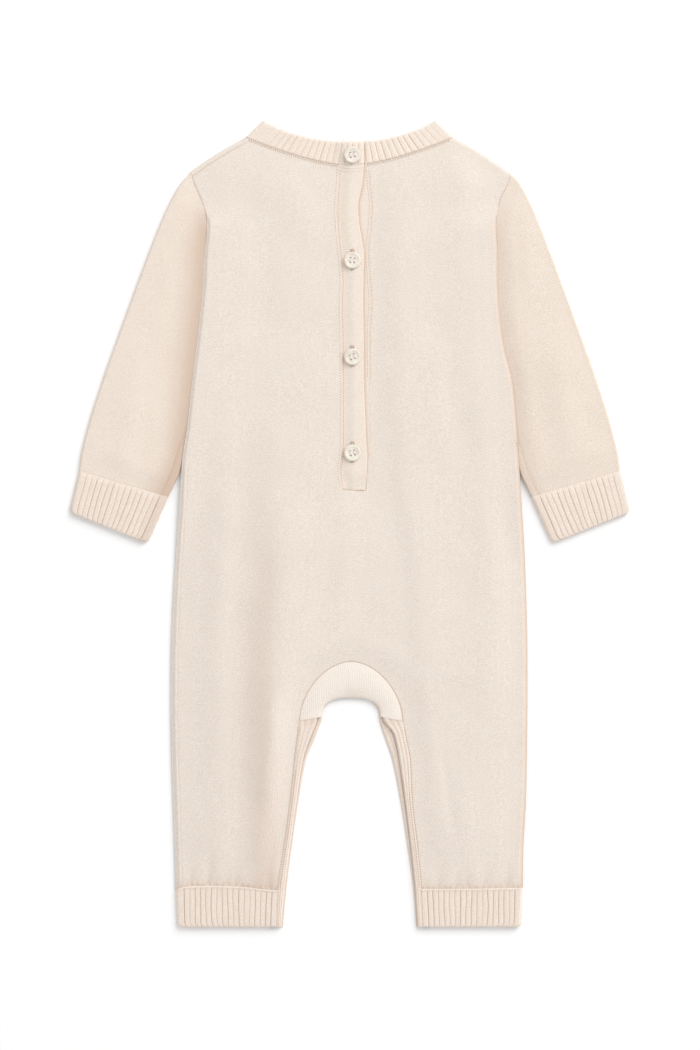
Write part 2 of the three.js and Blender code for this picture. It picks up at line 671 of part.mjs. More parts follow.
function neckBackColumns(down, from, to, upper, ribs) {
  const shares = ribShares(ribs);
  return shares.map((share) => {
    const across = lerp(from, to, share);
    const spot = neckPoint(NECK_BACK, across, down);
    const level = neckLevel(across, upper);
    const hidden = !upper && spot.x < NECK_UPPER_END + NECK_END_CLEAR;
    const rise = hidden ? 0 : ribProfile(ribs)(share);
    return { outer: [spot.x, spot.y, level + WALL + rise], inner: [spot.x, spot.y, level] };
  });
}

// The front half of the band bends where the columns of the front panel meet it
function frontNeckShares(clear) {
  const meets = [1, -1].map((side) => {
    const tipX = side * edgeOfBody(side, SIDE[0].y);
    const places = columnPlaces(tipX, innerEdgeX(FRONT_PANEL, side, TOP_BASE_Y), side);
    const shares = places.map((place) => place.x / NECK_FRONT.seamHalf);
    return shares.filter((across) => Math.abs(across) < clear - NECK_CORNER);
  });
  return [clear, ...meets[0], ...meets[1].slice(0, -1).reverse(), -clear];
}

function neckStation(down) {
  const half = LAYERS / 2;
  const middleHalf = lerp(NECK_BACK.edgeHalf, NECK_BACK.seamHalf, down);
  const clear = 1 - half / middleHalf;
  const rightRibs = NECK_BACK.ribs / 2;
  const leftRibs = NECK_BACK.ribs / 2 + 2;
  const right = neckBackColumns(down, NECK_UNDER_END / middleHalf, clear, false, rightRibs);
  const left = neckBackColumns(down, -clear, NECK_UPPER_END / middleHalf, true, leftRibs);
  const rightFold = foldArc(neckPoint(NECK_BACK, 1, down), { x: -1, y: 0 }, LAYERS, 0);
  const leftFold = foldArc(neckPoint(NECK_BACK, -1, down), { x: 1, y: 0 }, LAYERS, 0);
  const front = frontNeckShares(clear).map((across) => {
    const spot = neckPoint(NECK_FRONT, across, down);
    return { outer: [spot.x, spot.y, 0], inner: [spot.x, spot.y, WALL] };
  });
  return [...right, ...rightFold, ...front, ...leftFold.slice().reverse(), ...left];
}

addPiece('neckband', new Wall().grid(NECK_STATIONS.map(neckStation)).geometry(), RIBBING);

// Button stand: a lower band sewn to the right side of the slot and an upper one to its left
function stripWall(rows, edges, level, rise) {
  return new Wall().grid(rows.map((y) => edges(y).map((x, i) => ({
    outer: [x, y, level + WALL + rise(i)],
    inner: [x, y, level],
  }))));
}

const UPPER_SHARES = [0, 0.1, 0.5, 0.9, 1];
const bandTop = SLOT.top - 0.2;
const bandRows = PLACKET_EDGE.map((row) => Math.min(row.y, bandTop));
const upperBand = stripWall(bandRows, (y) => {
  const right = atY(PLACKET_EDGE, y, 'x');
  const left = SLOT.left + SEAM_GAP;
  return UPPER_SHARES.map((share) => lerp(left, right, share));
}, PLACKET_LEVEL, (i) => (i === 0 || i === UPPER_SHARES.length - 1 ? -PLACKET_EDGE_DROP : 0));
addPiece('placket_upper', upperBand.geometry(), JERSEY);

const lowerRows = [];
for (let i = 0; i <= UNDER_BAND.rows; i += 1) {
  lowerRows.push(lerp(bandTop, UNDER_BAND.bottom, i / UNDER_BAND.rows));
}
const lowerBand = stripWall(lowerRows, () => [UNDER_BAND.left, UNDER_BAND.right], BACK_LEVEL, () => 0);
addPiece('placket_lower', lowerBand.geometry(), JERSEY);

// Gusset in the back of the crotch: a half moon between the panel's arch and the crotch edge
function archPoint(arch, side, step, inset) {
  const y = arch.foot + arch.rise * (1 - step);
  const x = arch.x + side * archHalf(arch, y);
  const towards = inwardOf({ x, y }, { x: arch.x, y: arch.foot });
  return { x: x + towards.x * inset, y: y + towards.y * inset };
}

const GUSSET_SHARES = [0, 0.33, 0.66, 0.92, 1];
const GUSSET_LOFT = 0.5;
const GUSSET_EDGE_DROP = 0.7;
const gussetSteps = [
  ...ARCH_STEPS.slice(1).reverse().map((step) => ({ side: -1, step })),
  { side: -1, step: 0 },
  ...ARCH_STEPS.slice(1).map((step) => ({ side: 1, step })),
];
const gussetRows = gussetSteps.map(({ side, step }) => {
  const seam = archPoint(GUSSET_SEAM, side, step, ARCH_GAP);
  const edge = archPoint(GUSSET_EDGE, side, step, 0);
  return GUSSET_SHARES.map((share) => {
    const x = lerp(seam.x, edge.x, share);
    const y = lerp(seam.y, edge.y, share);
    const drop = share === 1 ? GUSSET_EDGE_DROP : 0;
    const loft = GUSSET_LOFT * Math.sin(Math.PI * share);
    return { outer: [x, y, LAYERS + loft - drop], inner: [x, y, BACK_LEVEL + loft] };
  });
});
addPiece('gusset', new Wall().grid(gussetRows).geometry(), GUSSET_JERSEY);

// Bands down the inner legs: two on the back, and one on the front that runs round the crotch
const BAND_SHARES = [0, 0.14, 0.4, 0.5, 0.6, 0.86, 1];
const BAND_RISE = [0, 0.5, 0.5, 0.1, 0.5, 0.5, -0.3];
const BAND_ROWS = [...LEG_ROWS, -260, CUFF_END_Y];
const BACK_BAND_TOP = GUSSET_SEAM.foot - SEAM_GAP;
const FRONT_BAND_SHARES = [0, 0.12, 0.5, 1];
const FRONT_EDGE_DROP = 0.4;

for (const side of [-1, 1]) {
  const rows = [BACK_BAND_TOP, ...BAND_ROWS].map((y) => BAND_SHARES.map((share, i) => {
    const x = side * lerp(inseam(side, y, 'seam'), inseam(side, y, 'band'), share);
    return { outer: [x, y, LAYERS + BAND_RISE[i]], inner: [x, y, BACK_LEVEL] };
  }));
  addPiece(`inseam_band_back_${sideName(side)}`, new Wall().grid(rows).geometry(), RIBBING);
}

// One row of the front's band, from its free edge to its seam, thinner at the edge
function frontBandRow(edge, seam) {
  return FRONT_BAND_SHARES.map((share) => {
    const x = lerp(edge.x, seam.x, share);
    const y = lerp(edge.y, seam.y, share);
    const thick = share === 0 ? WALL - FRONT_EDGE_DROP : WALL;
    return { outer: [x, y, 0], inner: [x, y, thick] };
  });
}

function frontBandLeg(side) {
  return BAND_ROWS.map((y) => {
    const edge = inseam(side, y, 'edge');
    return frontBandRow({ x: side * edge, y }, { x: side * (edge + FRONT_BAND_WIDTH), y });
  });
}

function frontBandArch(side) {
  return ARCH_STEPS.map((step) => (
    frontBandRow(archPoint(FRONT_EDGE, side, step, 0), archPoint(FRONT_SEAM, side, step, ARCH_GAP))));
}

const leftWay = [...frontBandLeg(-1).reverse(), ...frontBandArch(-1).reverse()];
const rightWay = [...frontBandArch(1).slice(1), ...frontBandLeg(1)];
addPiece('inseam_band_front', new Wall().grid([...leftWay, ...rightWay]).geometry(), RIBBING);

// Buttons: a dished disc with four holes
function asManifold(geometry) {
  const bare = geometry.clone();
  bare.deleteAttribute('normal');
  bare.deleteAttribute('uv');
  const merged = mergeVertices(bare, 1e-4);
  const mesh = new wasm.Mesh({
    numProp: 3,
    vertProperties: new Float32Array(merged.attributes.position.array),
    triVerts: new Uint32Array(merged.index.array),
  });
  return new wasm.Manifold(mesh);
}

function fromManifold(solid) {
  const mesh = solid.getMesh();
  const geometry = new THREE.BufferGeometry();
  geometry.setAttribute('position', new THREE.BufferAttribute(new Float32Array(mesh.vertProperties), 3));
  geometry.setIndex(new THREE.BufferAttribute(new Uint32Array(mesh.triVerts), 1));
  geometry.computeVertexNormals();
  return geometry;
}

function buttonGeometry() {
  const { radius, foot, waist, thick, crest, slope, dish, holeRadius, holeSpread } = BUTTON;
  const profile = [
    new THREE.Vector2(0, 0),
    new THREE.Vector2(foot, 0),
    new THREE.Vector2(radius, waist),
    new THREE.Vector2(crest, thick),
    new THREE.Vector2(slope, thick - dish),
    new THREE.Vector2(0, thick - dish),
  ];
  const disc = new THREE.LatheGeometry(profile, 18);
  disc.rotateX(Math.PI / 2);
  let solid = asManifold(disc);
  for (const [sx, sy] of [[-1, -1], [1, -1], [1, 1], [-1, 1]]) {
    const hole = new THREE.CylinderGeometry(holeRadius, holeRadius, thick * 3, 6);
    hole.rotateX(Math.PI / 2);
    hole.translate(sx * holeSpread, sy * holeSpread, thick / 2);
    solid = solid.subtract(asManifold(hole));
  }
  return fromManifold(solid);
}

BUTTON_ROWS.forEach((row, i) => {
  const button = addPiece(`button_${i + 1}`, buttonGeometry(), SHELL_BUTTON);
  button.position.set(BUTTON.x, row.y, row.level);
});

export default romper;
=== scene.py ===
"""A baby's romper in fine cotton knit, laid flat with its back up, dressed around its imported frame.

Shapes are worked out in millimetres from the sizes below and become metres when a mesh is made.
Left and right are as seen from above with the neck at +Y.
"""

import logging
import math
from dataclasses import dataclass
from enum import Enum
from typing import Any, Callable, Iterator, NamedTuple, Sequence

import bpy
import numpy as np
from mathutils import Matrix, Vector
from mathutils.bvhtree import BVHTree


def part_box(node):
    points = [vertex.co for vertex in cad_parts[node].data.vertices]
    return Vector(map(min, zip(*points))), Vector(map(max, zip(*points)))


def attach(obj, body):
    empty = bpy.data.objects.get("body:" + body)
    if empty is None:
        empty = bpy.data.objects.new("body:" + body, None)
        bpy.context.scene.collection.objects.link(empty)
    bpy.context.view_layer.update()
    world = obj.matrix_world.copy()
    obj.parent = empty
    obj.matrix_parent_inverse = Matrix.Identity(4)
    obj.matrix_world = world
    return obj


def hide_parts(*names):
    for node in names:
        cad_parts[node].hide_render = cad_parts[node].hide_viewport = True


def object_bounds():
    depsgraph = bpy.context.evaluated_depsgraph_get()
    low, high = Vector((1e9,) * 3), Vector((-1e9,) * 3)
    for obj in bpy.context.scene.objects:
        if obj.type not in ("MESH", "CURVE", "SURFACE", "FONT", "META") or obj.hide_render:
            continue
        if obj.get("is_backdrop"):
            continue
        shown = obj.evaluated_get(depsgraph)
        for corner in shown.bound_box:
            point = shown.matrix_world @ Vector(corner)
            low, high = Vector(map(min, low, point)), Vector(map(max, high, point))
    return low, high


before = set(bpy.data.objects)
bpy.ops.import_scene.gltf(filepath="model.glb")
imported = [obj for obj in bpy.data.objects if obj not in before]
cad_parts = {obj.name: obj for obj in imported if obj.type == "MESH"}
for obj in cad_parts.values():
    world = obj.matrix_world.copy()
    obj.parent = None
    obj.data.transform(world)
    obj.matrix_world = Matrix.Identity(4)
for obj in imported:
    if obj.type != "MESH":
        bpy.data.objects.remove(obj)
CAD_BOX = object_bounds()

LOG = logging.getLogger("romper")
MM = 0.001
BODY = "root"
# An inset, in millimetres, that stands for being nowhere near an edge
FAR = 99.0
CLOTH_WALL = 1.4
# The least painted shade on the inner skin, and the angle in degrees over which an edge stays sharp
HIDDEN_SHADE = 0.14
SMOOTH_ANGLE = 55.0
Array = np.ndarray
Piece = bpy.types.Object
Mesh = bpy.types.Mesh
Material = bpy.types.Material


class Side(Enum):
    """One side of the garment, as the sign of its x."""

    LEFT = -1
    RIGHT = 1

    @property
    def word(self) -> str:
        """The side's name in tables and piece names."""
        return self.name.lower()


class Hold(Enum):
    """How a cut of cloth lies on what carries it."""

    LAID = "laid"
    FOLDED = "folded"


class Stitch(Enum):
    """Which way the fine relief of a knit runs."""

    WALES = "wales"
    ROWS = "rows"


class Place(NamedTuple):
    """A point of an outline."""

    x: float
    y: float


class SideRow(NamedTuple):
    """Distance of the body's outer edge from the middle line."""

    y: float
    left: float
    right: float


class InseamRow(NamedTuple):
    """Inner leg: the back band's seam and free edge, and the front band's edge beyond it."""

    y: float
    left_seam: float
    left_band: float
    left_edge: float
    right_seam: float
    right_band: float
    right_edge: float


class HoleRow(NamedTuple):
    """How far the armhole stands out from the body's edge, or lies under it."""

    y: float
    out: float


class SlotRow(NamedTuple):
    """Seams of the button stand and the free edge of its upper band."""

    y: float
    left: float
    right: float
    edge: float


def rows_of(kind: Callable[..., Any], *rows: Sequence[float]) -> tuple[Any, ...]:
    """A table of rows with named columns."""
    return tuple(kind(*row) for row in rows)


SIDE_ROWS = rows_of(
    SideRow,
    (239.5, 108.4, 109.4), (232, 105.9, 107.9), (222, 101.6, 103.0), (211, 97.8, 100.2),
    (200, 97.1, 99.9), (185, 98.6, 100.6), (160, 99.9, 100.9), (135, 102.6, 102.9), (118, 104.5, 105.6),
    (98, 107.1, 110.5), (70, 110.1, 113.4), (44, 113.8, 114.9), (17, 115.4, 116.7), (-17, 117.8, 118.8),
    (-50, 119.8, 120.1), (-80, 121.0, 120.8), (-120, 121.4, 120.9), (-160, 120.8, 120.5),
    (-190, 119.8, 119.8), (-218, 118.9, 118.2), (-247.2, 118.2, 117.7),
)
INSEAM_ROWS = rows_of(
    InseamRow,
    (-134, 34.6, 22.0, 19.4, 36.3, 22.6, 20.0), (-141, 35.2, 24.9, 22.0, 37.6, 28.9, 22.4),
    (-147, 36.0, 27.4, 24.2, 38.8, 31.0, 24.5), (-160, 37.6, 31.6, 29.6, 41.2, 33.6, 28.9),
    (-190, 40.8, 36.3, 35.1, 42.8, 37.8, 34.8), (-222, 45.2, 40.7, 39.8, 46.6, 41.7, 39.7),
    (-247, 49.0, 44.0, 43.0, 48.8, 44.4, 43.1), (-274, 50.2, 46.4, 45.5, 50.2, 46.2, 45.3),
)
ARMHOLE_ROWS = rows_of(
    HoleRow,
    (238.6, -0.05), (227, -0.05), (214, -0.05), (204, -0.2), (190, -5), (170, -14), (153, -22),
    (138.7, -27.8),
)
SLOT_ROWS = rows_of(
    SlotRow,
    (243.2, -7.2, 12.2, 9.9), (231, -8.0, 13.2, 8.6), (217, -9.0, 14.4, 5.9), (204, -8.7, 13.8, 6.6),
    (184, -6.9, 12.2, 9.7), (168, -5.4, 13.2, 9.5), (150, -6.0, 14.2, 9.3), (132, -5.5, 13.2, 9.6),
    (98, -5.3, 13.2, 9.8), (55, -5.3, 13.4, 11.4), (46, -5.8, 12.7, 12.1), (37, -7.0, 11.9, 11.7),
    (22.8, -5.2, 11.0, 10.8),
)
SLEEVE_OUTER = rows_of(
    Place,
    (109.2, 240.3), (115.0, 234.0), (122.2, 220.3), (128.0, 206.7), (138.4, 179.5), (148.5, 152.3),
    (158.4, 125.1), (168.0, 97.9), (176.7, 70.7), (182.6, 47.5), (184.0, 36.3),
)
SLEEVE_INNER = rows_of(
    Place,
    (74.6, 138.7), (88.0, 104.0), (101.0, 73.0), (110.4, 52.0), (116.2, 33.6), (123.4, 18.5),
)
SLEEVE_BEYOND = (Place(137.4, -13.2), Place(152.0, -40.0))
HEM_LINE = rows_of(
    Place,
    (-121, -249.6), (-117, -248.5), (-113, -246.9), (-103, -246.2), (-84, -246.2), (-70, -247.0),
    (-48.5, -249.1), (48, -248.2), (90, -247.9), (121, -247.4),
)


def lerp(a: Any, b: Any, t: Any) -> Any:
    """The value at a share of the way from a to b."""
    return a + (b - a) * t


def soft(start: float, stop: float, value: Any) -> Any:
    """A smooth step from 0 at start to 1 at stop."""
    t = np.clip((np.asarray(value, float) - start) / (stop - start), 0.0, 1.0)
    return t * t * (3 - 2 * t)


def smooth(knots: Array, values: Array, at: Any) -> Array:
    """A smooth curve through values at rising knots.

    Args:
        knots: Where the values stand, rising.
        values: The values there.
        at: Where the curve is read.

    Returns:
        The curve's values.
    """
    at = np.asarray(at, float)
    last = len(knots) - 1
    i = np.clip(np.searchsorted(knots, at, side="left") - 1, 0, last - 1)
    before, after = np.maximum(i - 1, 0), np.minimum(i + 2, last)
    span = knots[i + 1] - knots[i]
    t = np.clip((at - knots[i]) / span, 0.0, 1.0)
    slope_a = span * (values[i + 1] - values[before]) / (knots[i + 1] - knots[before])
    slope_b = span * (values[after] - values[i]) / (knots[after] - knots[i])
    t2, t3 = t * t, t ** 3
    return (values[i] * (2 * t3 - 3 * t2 + 1) + slope_a * (t3 - 2 * t2 + t)
            + values[i + 1] * (3 * t2 - 2 * t3) + slope_b * (t3 - t2))


def edge_drop(inset: Any, depth: float, reach: float) -> Any:
    """How far a rounded edge has come down at an inset from it."""
    across = np.clip(1 - np.asarray(inset, float) / reach, 0.0, 1.0)
    return depth * (1 - np.sqrt(1 - across ** 2))


def soft_drop(inset: Any, depth: float, reach: float) -> Any:
    """How far a softly pressed fold has come down at an inset from it."""
    return depth * (1 - soft(0.0, reach, inset))


def bell(value: Any, width: Any) -> Any:
    """A smooth bump of 1 at a value of 0, sunk to 0.37 at the width."""
    return np.exp(-(value / width) ** 2)


def between(count: int) -> Array:
    """Even shares between 0 and 1, without these two."""
    return np.linspace(0, 1, count + 2)[1:-1]


def run(points: Array) -> Array:
    """Length of a line up to each of its points."""
    steps = np.linalg.norm(np.diff(points, axis=0), axis=1)
    return np.concatenate([[0.0], np.cumsum(steps)])


def grain_uv(points: Array, turn: float = 0.0) -> Array:
    """Metric knit coordinates of points on a flat piece.

    Args:
        points: The points, whose heights carry the knit round an edge.
        turn: Angle of the wales from +Y, in radians.

    Returns:
        Coordinates in metres, with a last axis of two.
    """
    x, y, z = (points[..., k] for k in range(3))
    across = x * math.cos(turn) + y * math.sin(turn) + z
    along = y * math.cos(turn) - x * math.sin(turn)
    return np.stack([across, along], axis=-1) * MM


def points_of(x: Any, y: Any, z: Any) -> Array:
    """Points with a last axis of three, from their coordinates."""
    return np.stack(np.broadcast_arrays(np.asarray(x, float), y, z), axis=-1)


class Table:
    """Rows of named columns that go down in y, read smoothly between the rows."""

    def __init__(self, rows: Sequence[Any]) -> None:
        """Keeps each column as an array."""
        self.columns = dict(zip(rows[0]._fields, np.array(rows, float).T))

    def at(self, column: str, y: Any) -> Array:
        """The value of a column at y."""
        return smooth(-self.columns["y"], self.columns[column], -np.asarray(y, float))


class Line:
    """A smooth line through a few places, read by the share of its length."""

    def __init__(self, places: Sequence[Place]) -> None:
        """Measures the line's steps."""
        self.points = np.array(places, float)
        lengths = run(self.points)
        self.length = float(lengths[-1])
        self.knots = lengths / self.length

    def at(self, share: Any) -> Array:
        """Places at shares of the length, with a last axis of two."""
        return np.stack([smooth(self.knots, self.points[:, k], share) for k in (0, 1)], axis=-1)


@dataclass(frozen=True)
class Arch:
    """A rounded arch over the gap between the legs."""

    x: float
    foot: float
    half_width: float
    rise: float
    power: float

    @property
    def top(self) -> float:
        """Height of the arch's crown."""
        return self.foot + self.rise

    def half(self, y: Any) -> Array:
        """Half width at a height."""
        share = np.clip((np.asarray(y, float) - self.foot) / self.rise, 0.0, 1.0)
        return self.half_width * (1 - share ** self.power) ** (1 / self.power)

    def round(self, turn: Any) -> tuple[Array, Array]:
        """Places round the arch, from a turn of -pi/2 at the left foot to pi/2 at the right one."""
        turn = np.asarray(turn, float)
        across = np.abs(np.sin(turn)) ** (2 / self.power) * np.sign(turn)
        up = np.abs(np.cos(turn)) ** (2 / self.power)
        return self.x + self.half_width * across, self.foot + self.rise * up


@dataclass(frozen=True)
class NeckLine:
    """Half of the neckband, between its free edge and its seam."""

    edge_half: float
    edge_mid: float
    edge_rise: float
    edge_power: float
    seam_half: float
    seam_mid: float
    seam_rise: float
    seam_power: float

    def place(self, across: Any, down: Any) -> tuple[Array, Array]:
        """A place on the band, across from -1 to 1 and down from 0 at the edge to 1 at the seam."""
        share = np.abs(across)
        edge_y = self.edge_mid + self.edge_rise * share ** self.edge_power
        seam_y = self.seam_mid + self.seam_rise * share ** self.seam_power
        return lerp(self.edge_half, self.seam_half, down) * across, lerp(edge_y, seam_y, down)


@dataclass(frozen=True)
class Fold:
    """A soft ridge, or a trough where its rise is negative, along a few places."""

    places: tuple[Place, ...]
    rise: float
    left: float
    right: float
    fade: float = 0.8

    def height(self, x: Array, y: Array) -> Array:
        """Height of the fold at points, fading to nothing at its ends."""
        points = np.array(self.places, float)
        steps, starts = np.diff(points, axis=0), run(points)
        nearest = np.full(np.shape(x), np.inf)
        along, turned = np.zeros(np.shape(x)), np.zeros(np.shape(x))
        for (px, py), (dx, dy), length, start in zip(points, steps, np.diff(starts), starts):
            t = np.clip(((x - px) * dx + (y - py) * dy) / length ** 2, 0.0, 1.0)
            ox, oy = x - px - dx * t, y - py - dy * t
            away = np.hypot(ox, oy)
            nearer = away < nearest
            nearest = np.where(nearer, away, nearest)
            along = np.where(nearer, (start + length * t) / starts[-1], along)
            turned = np.where(nearer, dx * oy - dy * ox, turned)
        width = np.where(turned < 0, self.left, self.right)
        return self.rise * np.sin(np.pi * along) ** self.fade * bell(nearest, width)


def fold(rise: float, left: float, right: float, *places: Sequence[float]) -> Fold:
    """A fold from its rise, its widths and the places it runs through."""
    return Fold(rows_of(Place, *places), rise, left, right)


@dataclass(frozen=True)
class Wave:
    """One of the long shallow waves that keep laid cloth from being flat."""

    length: float
    turn: float
    phase: float
    rise: float

    def height(self, x: Array, y: Array) -> Array:
        """Height of the wave at points."""
        along = x * math.cos(self.turn) + y * math.sin(self.turn)
        across = y * math.cos(self.turn) - x * math.sin(self.turn)
        bend = np.sin(across / (1.7 * self.length) + 2 * self.phase)
        return self.rise * np.sin(2 * np.pi * along / self.length + self.phase + 1.4 * bend) * bend


@dataclass(frozen=True)
class Pucker:
    """A short gather that runs up from the hem."""

    x: float
    length: float
    width: float
    rise: float

    def height(self, x: Array, up: Array) -> Array:
        """Height of the gather, at points a distance up from the hem."""
        away = (x - self.x - 0.12 * up) / (self.width * (1 + up / self.length))
        return self.rise * bell(away, 1.0) * np.exp(-(np.maximum(up, 0) / self.length) ** 1.5)


def heights(forms: Sequence[Any], x: Array, y: Array) -> Array:
    """Height of folds, waves or gathers together, at points."""
    return sum(form.height(x, y) for form in forms)


WAVES = rows_of(
    Wave,
    (74, 0.3, 0.4, 0.18), (53, 1.25, 1.9, 0.14), (38, 2.2, 3.1, 0.09), (97, 1.75, 0.9, 0.20),
    (29, 0.8, 5.0, 0.06), (21, 2.7, 2.4, 0.04),
)
BACK_FOLDS = (
    fold(2.3, 17, 28, (-50, 100), (-51, 30), (-46, -36), (-50, -82), (-51, -160), (-44, -290)),
    fold(1.5, 15, 18, (-48, -70), (-50, -160), (-46, -236), (-43, -310)),
    fold(1.1, 13, 11, (-86, 110), (-87, 20), (-88, -80), (-88, -170), (-84, -262)),
    fold(1.2, 8, 20, (27, 106), (38, 26), (47, -24), (50, -67), (54, -136)),
    fold(1.5, 14, 11, (86, 216), (91, 122), (101, -2), (102, -82), (100, -150)),
    fold(0.5, 10, 15, (80, 262), (78, 236), (76, 196)),
    fold(0.5, 15, 9, (-44, 252), (-34, 222), (-20, 184)),
    fold(-0.9, 15, 14, (-72, 270), (-68, 222), (-62, 170), (-58, 120)),
    fold(0.5, 8, 9, (-3, 16), (-4, -40), (-7, -92)),
    fold(0.45, 9, 9, (57, 128), (60, 84), (63, 30)),
    fold(0.5, 10, 22, (17, 226), (20, 160), (16, 90)),
    fold(0.6, 5, 4, (-26, -102), (-36, -124), (-37, -156)),
    fold(0.5, 6, 12, (46, -112), (53, -150), (56, -190)),
    fold(-0.3, 2.5, 4, (61, -150), (66, -178), (71, -216)),
    fold(0.5, 8, 10, (74, -150), (80, -200), (82, -262)),
    fold(0.5, 9, 9, (100, -170), (103, -220), (102, -270)),
)
# Painted shade along the flank of the left leg's main fold, laid out like a fold
LEG_SHADE = fold(0.25, 15, 11, (-62, 70), (-61, 39), (-56, -35), (-61, -82), (-60, -159), (-57, -239),
                 (-52, -430))
FRONT_FOLDS = (
    fold(0.8, 12, 16, (-62, 120), (-56, 30), (-60, -80), (-68, -200)),
    fold(0.7, 12, 15, (58, 150), (66, 60), (62, -40)),
    fold(0.6, 16, 14, (4, 190), (-6, 110), (2, 20)),
    fold(0.7, 11, 14, (84, -40), (80, -120), (84, -220)),
    fold(0.5, 10, 12, (-30, -30), (-10, -74), (20, -92)),
)
SLEEVE_FOLDS = (
    fold(0.6, 9, 11, (-118, 230), (-124, 180), (-130, 130)),
    fold(0.7, 8, 12, (-146, 130), (-150, 80), (-158, 20)),
    fold(0.5, 6, 7, (-128, 84), (-132, 56), (-134, 14)),
    fold(0.9, 7, 12, (121, 226), (122, 196), (124, 150)),
    fold(0.6, 10, 12, (136, 150), (146, 100), (152, 40)),
    fold(-0.4, 8, 9, (126, 110), (132, 70), (142, 30)),
)
HEM_PUCKERS = rows_of(
    Pucker,
    (-108.6, 15, 1.6, -0.45), (-102, 13, 2.4, 0.35), (-96.5, 24, 1.8, -0.5), (-89, 12, 2.2, 0.25),
    (-84, 9, 1.5, -0.2), (-77.3, 15, 1.5, -0.4), (-71, 12, 2.4, 0.3), (-64, 9, 1.8, -0.2),
    (-55.6, 25, 1.8, -0.65), (-51, 14, 1.6, 0.3), (54, 12, 1.6, 0.25), (60, 14, 1.7, -0.3),
    (67, 20, 2.4, 0.3), (73, 9, 1.5, -0.2), (79.1, 12, 1.5, -0.45), (85, 12, 2.2, 0.3),
    (92, 10, 1.6, -0.25), (98.5, 9, 1.7, 0.2), (107, 16, 1.6, -0.5), (112, 10, 1.5, 0.2),
)


